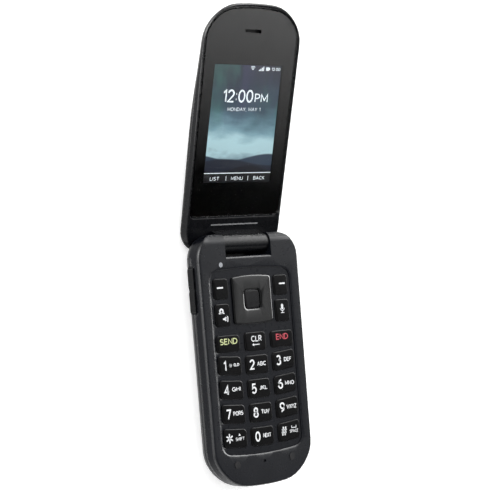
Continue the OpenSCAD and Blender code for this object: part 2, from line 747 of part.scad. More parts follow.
module rear_shell() {
    color("#2f3136") difference() {
        union() {
            difference() {
                base_whole();
                span([-base_hinge_w, -base_len, base_split_z], [base_hinge_w, base_len, base_t + over]);
                span([-base_hinge_w, notch_y, -over], [base_hinge_w, base_len, base_t]);
                slab(hollow_outline(base_wall + floor_step), base_back_wall, base_split_z);
                slab(hollow_outline(base_wall), base_back_wall + floor_rise, base_split_z + over);
            }
            span([-notch_w / 2 + lip_gap, notch_y - over, 0],
                 [notch_w / 2 - lip_gap, notch_y + lip_len, lip_t]);
            difference() {
                span([-bay_w / 2 - bay_wall, bay_y0 - bay_wall, bay_floor],
                     [bay_w / 2 + bay_wall, bay_y1 + bay_wall, bay_top + bay_rim]);
                for (s = SCREWS) post(s.x, s.y, base_split_z, bay_top + 2 * over, boss_r + board_hole_gap);
            }
            for (s = SCREWS) post(s.x, s.y, floor_rise, base_split_z, boss_r + rear_boss_wall);
        }
        slab(cover_outline(cover_gap), -over, cover_t + cover_seat);
        span([-bay_w / 2, bay_y0, -over], [bay_w / 2, bay_y1, bay_top]);
        for (s = SCREWS) {
            post(s.x, s.y, -over, head_seat_z, screw_head_r + head_gap);
            post(s.x, s.y, head_seat_z - over, base_split_z + over, pilot_r);
        }
        for (i = [-3:3])
            span([speaker_x + i * slot_pitch - slot_w / 2, speaker_y - slot_half_len, -over],
                 [speaker_x + i * slot_pitch + slot_w / 2, speaker_y + slot_half_len,
                  base_back_wall + over]);
        span([sim_x - sim_w / 2 - bay_gap, sim_y - sim_len / 2 - bay_gap, bay_top - over],
             [sim_x + sim_w / 2 + bay_gap, sim_y + sim_len / 2 + bay_gap, bay_top + 2 * over]);
        span([-contact_w / 2 - contact_gap, bay_y1 - over, contact_z0 - contact_gap],
             [contact_w / 2 + contact_gap, bay_y1 + bay_wall + over, bay_top + 2 * over]);
        side_openings();
    }
}

// ---------------------------------------------------------------- battery

grip_mid = 9;
grip_pitch = 1.1;
grip_w = 10;
grip_line = 0.4;
grip_depth = 0.2;
module battery_cover() {
    color("#303237") difference() {
        slab(cover_outline(0), 0, cover_t);
        for (i = [-3:3])
            translate([-grip_w / 2, cover_y1 - grip_mid + i * grip_pitch - grip_line / 2, -over])
                cube([grip_w, grip_line, over + grip_depth]);
    }
}

battery_z = cover_t + battery_lift;
battery_corner_r = 1.5;
contact_w = 10;
contact_len = 3.4;
contact_z0 = 2.6;
contact_pitch = 3;
blade_w = 1.2;
blade_h = 0.8;
blade_z = contact_z0 + 1;
blade_reach = 0.05;
pad_w = 2;
pad_h = 1.4;
pad_depth = 0.4;
module battery_pack() {
    y0 = bay_y0 + bay_gap;
    color("#202124") difference() {
        slab(round_rect(-battery_w / 2, battery_w / 2, y0, y0 + battery_len, battery_corner_r,
                        battery_corner_r, 3, 2), battery_z, battery_z + battery_t);
        for (i = [-1:1])
            translate([i * contact_pitch - pad_w / 2, y0 + battery_len - pad_depth, blade_z - pad_h / 2])
                cube([pad_w, pad_depth + over, pad_h]);
    }
}

module battery_contacts() {
    y0 = bay_y1 + bay_gap;
    tip_y = bay_y1 - bay_gap + blade_reach;
    color("#c9a44c") {
        span([-contact_w / 2, y0, contact_z0], [contact_w / 2, y0 + contact_len, board_under]);
        for (i = [-1:1])
            translate([i * contact_pitch - blade_w / 2, tip_y, blade_z - blade_h / 2])
                cube([blade_w, y0 - tip_y, blade_h]);
    }
}

// ---------------------------------------------------------------- board and what it carries

module main_board() {
    color("#1f5a3c") difference() {
        slab(hollow_outline(base_wall + board_gap), board_under, board_top);
        for (s = SCREWS) post(s.x, s.y, board_under - over, board_top + over, boss_r + board_hole_gap);
    }
}

board_hole_gap = 0.15;
shield_room = 0.6;
shield_h = board_under - bay_top - shield_room;
shield_w = 16;
shield_len = 19;
shield_sheet = 0.2;
shield_pitch = 17.2;
shield_start = 3;
module shield_cans() {
    y1 = bay_y1 - shield_start;
    color("#b9bcc0") for (s = [-1, 1])
        translate([s * shield_pitch / 2 - shield_w / 2, y1 - shield_len, board_under - shield_h])
            difference() {
                cube([shield_w, shield_len, shield_h]);
                translate([shield_sheet, shield_sheet, shield_sheet])
                    cube([shield_w - 2 * shield_sheet, shield_len - 2 * shield_sheet, shield_h]);
            }
}

sim_w = 17;
sim_len = 16;
sim_x = 0;
sim_mid = 18;
sim_y = bay_y0 + sim_mid;
sim_lift = 0.1;
sim_shelf = 0.2;
card_w = 14.8;
card_len = 14.3;
card_t = 0.78;
card_nick = 2.4;
card_out = 0.5;
card_gap = 0.2;
card_lift = 0.02;
card_slot_h = 0.85;
card_z = bay_top + sim_lift + sim_shelf + card_lift;
module sim_holder() {
    slot_half = card_w / 2 + card_gap;
    slot_z = bay_top + sim_lift + sim_shelf;
    color("#c4c7ca") difference() {
        span([sim_x - sim_w / 2, sim_y - sim_len / 2, bay_top + sim_lift],
             [sim_x + sim_w / 2, sim_y + sim_len / 2, board_under]);
        span([sim_x - slot_half, sim_y - sim_len / 2 - over, slot_z],
             [sim_x + slot_half, card_y0 + card_len + card_gap, slot_z + card_slot_h]);
    }
}

card_y0 = sim_y - sim_len / 2 + card_out;
module sim_card() {
    x1 = sim_x + card_w / 2;
    y1 = card_y0 + card_len;
    color("#e3e0d6") slab([[x1 - card_w, card_y0], [x1, card_y0], [x1, y1 - card_nick],
                           [x1 - card_nick, y1], [x1 - card_w, y1]], card_z, card_z + card_t);
}

dome_r = 1.1;
dome_reach = 0.4;
function dome_points() = concat(
    [for (k = CAPS) [k[1], k[2] - k[7] * (1 - pow(k[1] / num_pitch_x, 2))]],
    [for (a = [0:90:270])
        [nav_w * dome_reach * cos(a), hinge_y - nav_mid + nav_h * dome_reach * sin(a)]]);

dome_sheet_in = 1;
module dome_sheet() {
    color("#d4d6d8") slab(field_outline(-dome_sheet_in), board_top, board_top + dome_sheet_t);
}

mat_in = 0.6;
module key_mat() {
    plunger_top = mat_top - mat_t;
    color("#7d8084") {
        slab(field_outline(-mat_in), plunger_top, mat_top);
        for (p = dome_points()) post(p.x, p.y, board_top + dome_sheet_t, plunger_top, dome_r);
    }
}

usb_sheet = 0.35;
usb_back = 0.4;
tongue_w = 3.8;
tongue_in = 0.8;
tongue_z = 0.1;
module usb_port() {
    x0 = usb_face_x - usb_len;
    color("#c9ccd0") difference() {
        span([x0, usb_y - usb_w / 2, usb_z - usb_h / 2],
             [usb_face_x, usb_y + usb_w / 2, usb_z + usb_h / 2]);
        difference() {
            span([x0 + usb_back, usb_y - usb_w / 2 + usb_sheet, usb_z - usb_h / 2 + usb_sheet],
                 [usb_face_x + over, usb_y + usb_w / 2 - usb_sheet, usb_z + usb_h / 2 - usb_sheet]);
            span([x0, usb_y - tongue_w / 2, usb_z - tongue_z],
                 [usb_face_x - tongue_in, usb_y + tongue_w / 2, usb_z + usb_sheet]);
        }
    }
}

jack_body_w = 5.6;
jack_body_drop = 2.55;
jack_wall_gap = 0.2;
module headset_jack() {
    inner_x = base_side(jack_y) - base_wall - floor_step - jack_wall_gap;
    color("#1d1e20") difference() {
        union() {
            span([jack_body_x, jack_y - jack_body_w / 2, jack_z - jack_body_drop],
                 [inner_x, jack_y + jack_body_w / 2, board_under]);
            rod_x(inner_x, jack_face_x, jack_y, jack_z, jack_nose_r);
        }
        rod_x(jack_face_x - jack_bore_len, jack_face_x + over, jack_y, jack_z, jack_bore_r);
    }
}

module loudspeaker() {
    color("#2a2b2e") translate([speaker_x - speaker_w / 2, speaker_y - speaker_len / 2, base_back_wall])
        difference() {
            cube([speaker_w, speaker_len, speaker_t]);
            translate([speaker_wall, speaker_wall, -over])
                cube([speaker_w - 2 * speaker_wall, speaker_len - 2 * speaker_wall,
                      over + speaker_recess]);
        }
}

mic_r = 2;
mic_port = 0.4;
module microphone() {
    color("#c0c2c5") difference() {
        post(0, hinge_y - bumper_mid, board_top, face_under, mic_r);
        post(0, hinge_y - bumper_mid, face_under - mic_port, face_under + over, mic_hole_r);
    }
}

motor_r = 2;
motor_mid = 17.4;
motor_y = hinge_y - motor_mid;
motor_lift = 0.35;
motor_z = base_back_wall + motor_r + motor_lift;
motor_x0 = -17.6;
motor_len = 9;
motor_end = 1;
motor_foot_w = 2.4;
motor_foot_sink = 0.4;
spindle_r = 0.4;
spindle_gap = 0.2;
weight_out = 3.1;
weight_gap = 0.3;
weight_trim = 0.05;
weight_over_axis = 0.3;
module vibration_motor() {
    x1 = motor_x0 + motor_len;
    color("#b4b7bb") {
        difference() {
            rod_x(motor_x0, x1, motor_y, motor_z, motor_r);
            rod_x(motor_x0 - over, x1 - motor_end, motor_y, motor_z, spindle_r + turn_clearance);
        }
        span([motor_x0 + motor_end, motor_y - motor_foot_w / 2, base_back_wall],
             [x1 - motor_end, motor_y + motor_foot_w / 2, motor_z - motor_r + motor_foot_sink]);
    }
}

module vibration_weight() {
    x0 = motor_x0 - weight_out;
    spindle_x1 = motor_x0 + motor_len - motor_end - spindle_gap;
    color("#8d8f92") {
        rod_x(x0, spindle_x1, motor_y, motor_z, spindle_r);
        intersection() {
            rod_x(x0, motor_x0 - weight_gap, motor_y, motor_z, motor_r - weight_trim);
            span([x0 - over, motor_y - motor_r, motor_z - motor_r],
                 [motor_x0, motor_y + motor_r, motor_z + weight_over_axis]);
        }
    }
}

antenna_w = 26;
antenna_len = 7;
antenna_wall = 0.8;
antenna_gap = 0.8;
antenna_drop = 1.8;
module antenna() {
    y1 = bay_y0 - bay_wall - antenna_gap;
    color("#3a3a3a") difference() {
        span([-antenna_w / 2, y1 - antenna_len, base_split_z - antenna_drop],
             [antenna_w / 2, y1, board_under]);
        span([-antenna_w / 2 + antenna_wall, y1 - antenna_len + antenna_wall,
              base_split_z - antenna_drop - over],
             [antenna_w / 2 - antenna_wall, y1 - antenna_wall, board_under - antenna_wall]);
    }
}

// Places behind the left wall of the rocker's flange, its nubs, the switches and their board
flange_depth = 0.77;
flange_x = rocker_wall_x + flange_depth;
flange_t = 0.45;
flange_out = 0.5;
flange_lap = 0.4;
nub_reach = 0.85;
nub_x1 = flange_x + nub_reach;
nub_side = 1.2;
switch_gap = 0.25;
switch_x = nub_x1 + switch_gap;
switch_t = 0.5;
switch_len = 2.6;
switch_h = 2;
switch_pitch = 9.2;
side_board_t = 0.5;
side_board_foot = 8;
side_board_top = 5.9;
side_board_drop = 1.8;
module side_key_board() {
    x0 = switch_x + switch_t;
    color("#27543d") {
        span([x0, rocker_y - side_board_foot, rocker_z - side_board_drop],
             [x0 + side_board_t, rocker_y + side_board_top, board_under]);
        for (s = [-1, 1])
            translate([switch_x, rocker_y + s * switch_pitch / 2 - switch_len / 2, rocker_z - switch_h / 2])
                cube([switch_t, switch_len, switch_h]);
    }
}

rocker_face_x = -base_side(rocker_y) - rocker_proud;
rocker_bevel = 0.4;
rocker_bevel_len = 0.6;
rocker_dip = 0.3;
rocker_dip_len = 1.2;
module volume_rocker() {
    // Far half of the rocker's outline, from its middle to its end
    half = [[rocker_face_x + rocker_dip, 0], [rocker_face_x, rocker_dip_len],
            [rocker_face_x, rocker_len / 2 - rocker_bevel_len],
            [rocker_face_x + rocker_bevel, rocker_len / 2], [flange_x, rocker_len / 2]];
    color("#2c2e33") translate([0, rocker_y, rocker_z]) {
        for (s = [0, 1]) mirror([0, s, 0]) {
            slab(concat(half, [[flange_x, 0]]), -rocker_h / 2, rocker_h / 2);
            translate([flange_x, switch_pitch / 2 - nub_side / 2, -nub_side / 2])
                cube([nub_x1 - flange_x, nub_side, nub_side]);
        }
        span([flange_x, -rocker_len / 2 - flange_out, -rocker_h / 2 - flange_lap],
             [flange_x + flange_t, rocker_len / 2 + flange_out, rocker_h / 2 + flange_lap]);
    }
}

module status_led() {
    color("#e8eef0") post(-led_x, hinge_y - led_mid, board_top, base_t, led_r);
}

module bumpers() {
    color("#26272a") both_sides()
        post(bumper_x, hinge_y - bumper_mid, base_t - bumper_seat, base_t + bumper_rise, bumper_r);
}

cross_len = 1.5;
cross_w = 0.35;
cross_depth = 0.3;
module base_screws() {
    color("#8f9296") for (s = SCREWS) {
        difference() {
            post(s.x, s.y, head_seat_z - screw_head_h, head_seat_z, screw_head_r);
            for (a = [0, 90]) translate([s.x, s.y, head_seat_z - screw_head_h])
                rotate([0, 0, a]) cube([cross_len, cross_w, 2 * cross_depth], center = true);
        }
        post(s.x, s.y, head_seat_z, head_seat_z + base_screw_len, screw_r);
    }
}

// ---------------------------------------------------------------- hinge hardware

can_x1 = barrel_half;
can_x0 = can_x1 - can_len;
end_gap = 0.1;
cam_x1 = can_x1 - can_wall - end_gap;

// Cam, neck and held end of the hinge, all on the hinge axis
module hinge_shaft() {
    end_x0 = notch_w / 2 + end_gap;
    color("#9a9da1") {
        rod_x(cam_x1 - cam_len, cam_x1, hinge_y, hinge_z, cam_r);
        rod_x(cam_x1 - end_gap, end_x0 + end_gap, hinge_y, hinge_z, shaft_neck_r);
        rod_x(end_x0, end_x0 + shaft_end_len - end_gap, hinge_y, hinge_z, shaft_end_r);
    }
}

module hinge_can() {
    color("#a9acb0") lid_place() difference() {
        rod_x(can_x0, can_x1, 0, axis_over_lid, can_r);
        rod_x(can_x0 + can_wall, can_x1 - can_wall, 0, axis_over_lid, can_r - can_wall);
        rod_x(can_x0 + can_wall, can_x1 + over, 0, axis_over_lid, shaft_neck_r + turn_clearance);
    }
}

// Coil spring that presses the cam, swept along its helix
spring_end_gap = 0.05;
spring_side_gap = 0.15;
module hinge_spring() {
    x0 = can_x0 + can_wall + spring_wire_r + spring_end_gap;
    x1 = cam_x1 - cam_len - spring_wire_r - spring_end_gap;
    coil_r = can_r - can_wall - spring_wire_r - spring_side_gap;
    steps = 14 * spring_turns;
    sides = 6;
    color("#c2c5c8") lid_place() translate([0, 0, axis_over_lid]) rotate([0, 90, 0]) loft([
        for (i = [0:steps])
            let (a = 360 * spring_turns * i / steps, z = x0 + (x1 - x0) * i / steps)
            [for (j = [0:sides - 1])
                let (b = 360 * j / sides, r = coil_r + spring_wire_r * cos(b))
                [r * cos(a), r * sin(a), z - spring_wire_r * sin(b)]]
    ]);
}

flex_x = -6;
flex_rise = 0.3;
flex_out = 3;
flex_roll_x1 = -1.6;
flex_drop_gap = 1;
flex_lap = 2.2;

// Piece of the flexible strip between two points [y, z] of the lid's frame
module flex_strip(a, b) { span([flex_x - flex_w / 2, a.x, a.y], [flex_x + flex_w / 2, b.x, b.y]); }

module hinge_flex() {
    roll_x0 = -notch_w / 2 - pivot_len - flex_out;
    strip_z = flex_rise - lid_split;
    drop_y = lid_board_start - flex_drop_gap;
    color("#b5762f") lid_place() {
        difference() {
            rod_x(roll_x0, flex_roll_x1, 0, axis_over_lid, flex_roll_r);
            rod_x(roll_x0 - over, flex_roll_x1 + over, 0, axis_over_lid, flex_roll_r - 2 * flex_t);
        }
        flex_strip([-flex_t / 2, strip_z], [flex_t / 2, axis_over_lid - flex_roll_r + flex_t]);
        flex_strip([-flex_t / 2, strip_z], [drop_y, strip_z + flex_t]);
        flex_strip([drop_y - flex_t, lid_board_z], [drop_y, strip_z + flex_t]);
        flex_strip([drop_y - flex_t, lid_board_z], [lid_board_start + flex_lap, lid_board_z + flex_t]);
    }
}

// ---------------------------------------------------------------- lid shells

LID_SCREWS = [for (x = [-lid_screw_x, lid_screw_x], y = [lid_screw_low, lid_end - lid_screw_end]) [x, y]];
lens_glue = 0.05;
lens_seat = lens_sink + lens_t + lens_glue;
lens_taper = 1.2;
lens_corner_in = 3;
lens_low_r = 2.2;
function lens_outline(d) = turned(half_outline(lens_w, lens_w - lens_taper,
    lens_end_gap - lid_end, -lens_start, free_corner_r - lens_corner_in, lens_low_r,
    free_end_bulge, d));

// Ring of the lid through profile point h beside the hinge and f at the free end
function lid_ring(start, h, f) =
    let (a = lid_outline(start, h[1]), b = lid_outline(start, f[1]))
    [for (i = [0:len(a) - 1])
        let (p = a[i] + (b[i] - a[i]) * thinned(a[i].y))
        [p.x, p.y, h[0] + (f[0] - h[0]) * thinned(p.y)]];

function lid_profile(t, rise, round_in) =
    concat(back_edge(-t, rise, round_in, 6), face_edge(0, lid_face_round, 3));

// Profile of the hollow, whose floor stops a little below the wall behind the face
hollow_floor_gap = 0.3;
function lid_hollow_profile(t, rise, round_in) =
    let (reach = t - lid_back_wall - lid_face_wall - hollow_floor_gap,
         edge = back_edge(lid_back_wall - t, rise, round_in, 6, acos(max(0, 1 - reach / rise))))
    [for (p = concat(edge, [[-lid_face_wall, edge[6][1]]])) [p[0], p[1] + lid_wall]];

module lid_whole() {
    h = lid_profile(lid_t, lid_back_rise, lid_back_round);
    f = lid_profile(lid_free_t, lid_free_rise, lid_free_round);
    loft([for (i = [0:len(h) - 1]) lid_ring(-hinge_inset, h[i], f[i])], curved = true);
}

module lid_hollow() {
    h = lid_hollow_profile(lid_t, lid_back_rise, lid_back_round);
    f = lid_hollow_profile(lid_free_t, lid_free_rise, lid_free_round);
    loft([for (i = [0:len(h) - 1]) lid_ring(lid_hollow_start - lid_wall, h[i], f[i])], curved = true);
}

// Side view of the neck that carries the barrel
neck_foot_in = 0.5;
neck_heel_in = 0.4;
neck_sink = 0.8;
neck_foot_angle = 28;
neck_heel_angle = 8;
module barrel_side_view() {
    foot_y = notch_depth - neck_foot_in;
    heel_y = neck_heel_in - hinge_inset;
    translate([0, axis_over_lid]) circle(r = barrel_r, $fn = 64);
    polygon([[heel_y, -neck_sink], [foot_y, -neck_sink], [foot_y, 0],
             [barrel_r * cos(neck_foot_angle), axis_over_lid + barrel_r * sin(neck_foot_angle)],
             [-barrel_r * cos(neck_heel_angle), axis_over_lid - barrel_r * sin(neck_heel_angle)],
             [heel_y, 0]]);
}

lid_boss_r = screw_head_r + 0.9;
lid_boss_overlap = 0.2;
window_margin = 1;
ear_slot_w = 8.4;
ear_slot_h = 1.4;
lens_slot_h = 1.5;
lens_slot_r = 0.7;
can_gap = 0.02;
can_end_gap = 0.05;
flex_slot_side = 0.4;
flex_slot_half = 0.6;
pivot_bore_x1 = -1;

module lid_inner_shell() {
    flex_side = flex_w / 2 + flex_slot_side;
    color("#26272b") lid_place() difference() {
        union() {
            difference() {
                lid_whole();
                span([-lid_free_w, -base_len, -lid_t - over], [lid_free_w, base_len, -lid_split]);
                lid_hollow();
            }
            along_x(-barrel_half, barrel_half) barrel_side_view();
            rod_x(-barrel_half - pivot_len, over - barrel_half, 0, axis_over_lid, pivot_r);
            for (s = LID_SCREWS) post(s.x, s.y, -lid_split, lid_boss_overlap - lid_face_wall, lid_boss_r);
        }
        slab(lens_outline(-lens_gap), -lens_seat, over);
        loft([at_height(lens_outline(-lens_gap), -lens_sink - lens_t / 2),
              at_height(lens_outline(-lens_gap - lens_bevel), 0.01)]);
        translate([-picture_w / 2 - window_margin, picture_mid - picture_h / 2 - window_margin,
                   -lid_face_wall - over])
            cube([picture_w + 2 * window_margin, picture_h + 2 * window_margin, lid_face_wall + over]);
        translate([-ear_slot_w / 2, earpiece_y - ear_slot_h / 2, -lid_face_wall - over])
            cube([ear_slot_w, ear_slot_h, lid_face_wall + over]);
        for (s = LID_SCREWS) {
            post(s.x, s.y, -lid_screw_seat, 0, screw_head_r + head_gap);
            post(s.x, s.y, -lid_split - over, 0, pilot_r);
        }
        rod_x(can_x0 - can_end_gap, barrel_half + over, 0, axis_over_lid, can_r + can_gap);
        rod_x(-barrel_half - pivot_len - over, pivot_bore_x1, 0, axis_over_lid, pivot_bore_r);
        span([flex_x - flex_side, -flex_slot_half, -lid_split - over],
             [flex_x + flex_side, flex_slot_half, axis_over_lid]);
        span([flex_x - flex_side, -flex_slot_half, -lid_split - over],
             [flex_x + flex_side, lid_hollow_start + over, -lid_face_wall]);
    }
}

outer_lens_glue = 0.1;
outer_lens_seat = outer_lens_t + outer_lens_glue;
outer_lens_gap = 0.08;
outer_window_in = 1.5;
camera_gap = 0.1;
outer_boss_r = screw_head_r + 0.5;
outer_boss_z = 0.8;
outer_pilot_z = 1;
function outer_lens_outline(g) = round_rect(-outer_lens_w / 2 - g, outer_lens_w / 2 + g,
    outer_lens_start - g, outer_lens_start + outer_lens_len + g, outer_lens_corner_r + g,
    outer_lens_corner_r + g, 6, 2);

module lid_outer_shell() {
    color("#2b2d31") lid_place() difference() {
        union() {
            difference() {
                lid_whole();
                span([-lid_free_w, -base_len, -lid_split], [lid_free_w, base_len, over]);
                lid_hollow();
            }
            for (s = LID_SCREWS) post(s.x, s.y, lid_back_z(s.y) + outer_boss_z, -lid_split, outer_boss_r);
        }
        slab(outer_lens_outline(outer_lens_gap), -lid_t - over, -lid_t + outer_lens_seat);
        span([outer_window_in - outer_module_w / 2, outer_mid - outer_module_h / 2 + outer_window_in,
              -lid_t - over],
             [outer_module_w / 2 - outer_window_in, outer_mid + outer_module_h / 2 - outer_window_in,
              -lid_split]);
        post(0, camera_mid, -lid_t - over, -lid_split, camera_barrel_r + camera_gap);
        for (s = LID_SCREWS) post(s.x, s.y, lid_back_z(s.y) + outer_pilot_z, over - lid_split, pilot_r);
    }
}

// ---------------------------------------------------------------- displays

module display_lens() {
    color("#0b0c0e") lid_place() difference() {
        slab(lens_outline(0), -lens_sink - lens_t, -lens_sink);
        slab(round_rect(-ear_slot_w / 2, ear_slot_w / 2, earpiece_y - lens_slot_h / 2,
                        earpiece_y + lens_slot_h / 2, lens_slot_r, lens_slot_r, 4, 2),
             -lens_sink - lens_t - over, over);
    }
}

lid_board_gap = 0.2;
lid_board_z = -lid_face_wall - module_t - lid_board_gap;
lid_board_t = 0.5;
lid_board_w = 39;
lid_board_start = camera_mid + camera_side / 2 + 0.35;
lid_board_over = 15;
lid_board_end = picture_mid + lid_board_over;
picture_depth = 0.15;

module display_module() {
    y0 = picture_mid - module_h / 2;
    color("#2f6f8f") lid_place() difference() {
        span([-module_w / 2, y0, -lid_face_wall - module_t], [module_w / 2, y0 + module_h, -lid_face_wall]);
        span([-picture_w / 2, picture_mid - picture_h / 2, -lid_face_wall - picture_depth],
             [picture_w / 2, picture_mid + picture_h / 2, over - lid_face_wall]);
    }
}

outer_border = 2;
outer_depth = 0.12;
module outer_display() {
    color("#34536b") lid_place()
        translate([-outer_module_w / 2, outer_mid - outer_module_h / 2,
                   lid_board_z - lid_board_t - outer_module_t])
            difference() {
                cube([outer_module_w, outer_module_h, outer_module_t]);
                translate([outer_border, outer_border, -over])
                    cube([outer_module_w - 2 * outer_border, outer_module_h - 2 * outer_border,
                          over + outer_depth]);
            }
}

camera_ring_gap = 0.05;
module outer_lens() {
    color("#101114") lid_place() difference() {
        slab(outer_lens_outline(0), -lid_t, outer_lens_t - lid_t);
        post(0, camera_mid, -lid_t - over, outer_lens_t + over - lid_t, camera_ring_r + camera_ring_gap);
    }
}

camera_top_gap = 0.1;
camera_nose_gap = 0.05;
camera_bore_wall = 0.9;
camera_bore_depth = 0.4;
module camera_module() {
    face = lid_back_wall - lid_t;
    color("#1b1c1f") lid_place() difference() {
        union() {
            span([-camera_side / 2, camera_mid - camera_side / 2, face],
                 [camera_side / 2, camera_mid + camera_side / 2, -lid_face_wall - camera_top_gap]);
            post(0, camera_mid, outer_lens_seat + camera_nose_gap - lid_t, face + over, camera_barrel_r);
        }
        post(0, camera_mid, -lid_t, face + camera_bore_depth, camera_barrel_r - camera_bore_wall);
    }
}

camera_ring_w = 1.1;
camera_dish = 0.25;
module camera_lens() {
    color("#3d4046") lid_place() difference() {
        post(0, camera_mid, -lid_t, outer_lens_t - lid_t, camera_ring_r);
        post(0, camera_mid, -lid_t - over, camera_dish - lid_t, camera_ring_r - camera_ring_w);
    }
}

earpiece_end = 11.4;
earpiece_y = lid_end - earpiece_end;
earpiece_w = 10;
earpiece_h = 6;
earpiece_t = 1.8;
earpiece_wall = 0.6;
earpiece_recess = 0.5;
module earpiece() {
    color("#232427") lid_place()
        translate([-earpiece_w / 2, earpiece_y - earpiece_h / 2, -lid_face_wall - earpiece_t])
            difference() {
                cube([earpiece_w, earpiece_h, earpiece_t]);
                translate([earpiece_wall, earpiece_wall, earpiece_t - earpiece_recess])
                    cube([earpiece_w - 2 * earpiece_wall, earpiece_h - 2 * earpiece_wall,
                          earpiece_recess + over]);
            }
}

module lid_board() {
    color("#1f5a3c") lid_place()
        span([-lid_board_w / 2, lid_board_start, lid_board_z - lid_board_t],
             [lid_board_w / 2, lid_board_end, lid_board_z]);
}

lid_head_gap = 0.05;
lid_screw_tip_z = 1.1;
lid_screw_seat = lens_seat + screw_head_h + lid_head_gap;
module lid_screws() {
    color("#8f9296") lid_place() for (s = LID_SCREWS) {
        post(s.x, s.y, -lid_screw_seat, screw_head_h - lid_screw_seat, screw_head_r);
        post(s.x, s.y, lid_back_z(s.y) + lid_screw_tip_z, -lid_screw_seat, screw_r);
    }
}

// ---------------------------------------------------------------- nodes

front_shell();
rear_shell();
battery_cover();
battery_pack();
battery_contacts();
main_board();
shield_cans();
dome_sheet();
key_mat();
sim_holder();
sim_card();
usb_port();
headset_jack();
loudspeaker();
microphone();
vibration_motor();
vibration_weight();
antenna();
side_key_board();
volume_rocker();
status_led();
bumpers();
base_screws();
for (k = CAPS) key_cap(k);
nav_pad();
nav_ring();
hinge_shaft();
hinge_can();
hinge_spring();
hinge_flex();
lid_inner_shell();
lid_outer_shell();
display_lens();
display_module();
outer_lens();
outer_display();
camera_module();
camera_lens();
earpiece();
lid_board();
lid_screws();
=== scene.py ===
import json
import math

import bmesh
import bpy
from mathutils import Matrix, Vector


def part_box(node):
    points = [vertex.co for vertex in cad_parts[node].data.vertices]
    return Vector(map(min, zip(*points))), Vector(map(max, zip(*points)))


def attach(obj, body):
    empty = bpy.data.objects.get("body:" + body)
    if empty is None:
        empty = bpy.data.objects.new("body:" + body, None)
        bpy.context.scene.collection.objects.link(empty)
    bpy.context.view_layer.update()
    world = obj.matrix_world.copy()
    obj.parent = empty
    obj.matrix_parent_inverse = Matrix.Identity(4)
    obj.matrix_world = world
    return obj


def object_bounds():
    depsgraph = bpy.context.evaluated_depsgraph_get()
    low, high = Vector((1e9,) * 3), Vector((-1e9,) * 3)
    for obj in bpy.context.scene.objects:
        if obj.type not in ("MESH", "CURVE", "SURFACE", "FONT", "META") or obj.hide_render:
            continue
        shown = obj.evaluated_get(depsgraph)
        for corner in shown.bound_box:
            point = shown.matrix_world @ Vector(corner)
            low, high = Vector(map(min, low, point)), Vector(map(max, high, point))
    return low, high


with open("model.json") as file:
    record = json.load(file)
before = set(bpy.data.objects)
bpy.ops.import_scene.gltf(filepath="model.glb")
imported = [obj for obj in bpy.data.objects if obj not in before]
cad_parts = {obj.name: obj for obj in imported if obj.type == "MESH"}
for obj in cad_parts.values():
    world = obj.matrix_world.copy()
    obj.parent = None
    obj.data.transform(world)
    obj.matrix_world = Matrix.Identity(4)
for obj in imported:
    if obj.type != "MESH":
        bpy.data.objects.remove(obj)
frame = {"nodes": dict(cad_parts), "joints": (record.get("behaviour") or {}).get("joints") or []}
cad_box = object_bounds()
NODES = frame["nodes"]

# Millimetre in the scene's metres
MM = 0.001


def add_object(name, data):
    """New object of the scene."""
    made = bpy.data.objects.new(name, data)
    bpy.context.scene.collection.objects.link(made)
    return made


# ---------- camera

# Where the camera stands and looks, in metres, and what points up in its picture
CAMERA_PLACE = Vector((-0.47964, 0.02699, 0.56115))
CAMERA_TARGET = Vector((-0.00166, 0.04720, 0.01030))
CAMERA_UP = Vector((0.0419, 0.9965, 0.0729))
# Focal length and width of the sensor in millimetres
CAMERA_LENS = 129.2
SENSOR_WIDTH = 36.0
# Nearest and farthest that the camera sees, in metres
CAMERA_NEAR = 0.01
CAMERA_FAR = 20.0


def add_camera():
    """Camera at the photograph's viewing angle."""
    back = (CAMERA_PLACE - CAMERA_TARGET).normalized()
    right = CAMERA_UP.cross(back).normalized()
    turn = Matrix((right, back.cross(right), back)).transposed()
    data = bpy.data.cameras.new("camera")
    data.lens = CAMERA_LENS
    data.sensor_width = SENSOR_WIDTH
    data.clip_start = CAMERA_NEAR
    data.clip_end = CAMERA_FAR
    camera = add_object("camera", data)
    camera.matrix_world = Matrix.Translation(CAMERA_PLACE) @ turn.to_4x4()
    bpy.context.scene.camera = camera


# ---------- shader helpers

BLACK = (0.0, 0.0, 0.0, 1.0)
WHITE = (1.0, 1.0, 1.0, 1.0)


def linear(red, green, blue):
    """Linear colour of an sRGB colour given from 0 to 255."""
    def one(value):
        share = value / 255
        return share / 12.92 if share <= 0.04045 else ((share + 0.055) / 1.055) ** 2.4
    return (one(red), one(green), one(blue), 1.0)


def shaded(colour, factor):
    """A colour made lighter or darker by a factor."""
    return tuple(min(1.0, value * factor) for value in colour[:3]) + (1.0,)


def set_inputs(tree, node, inputs):
    """Gives a node's inputs their values, or links them where the value is a socket."""
    for key, value in inputs.items():
        if isinstance(value, bpy.types.NodeSocket):
            tree.links.new(value, node.inputs[key])
        else:
            node.inputs[key].default_value = value


def add_node(tree, kind, inputs=None, **settings):
    """New shader node with its settings and input values."""
    node = tree.nodes.new(kind)
    for key, value in settings.items():
        setattr(node, key, value)
    set_inputs(tree, node, inputs or {})
    return node


def new_material(name):
    """Empty material, its node tree and its Principled shader."""
    made = bpy.data.materials.new(name)
    made.use_nodes = True
    tree = made.node_tree
    tree.nodes.clear()
    shader = add_node(tree, "ShaderNodeBsdfPrincipled")
    add_node(tree, "ShaderNodeOutputMaterial", {"Surface": shader.outputs["BSDF"]})
    return made, tree, shader


def math_node(tree, operation, first, second=0.0, third=0.0, clamp=False):
    """Output of a Math node."""
    node = add_node(tree, "ShaderNodeMath", {0: first, 1: second, 2: third},
                    operation=operation, use_clamp=clamp)
    return node.outputs[0]


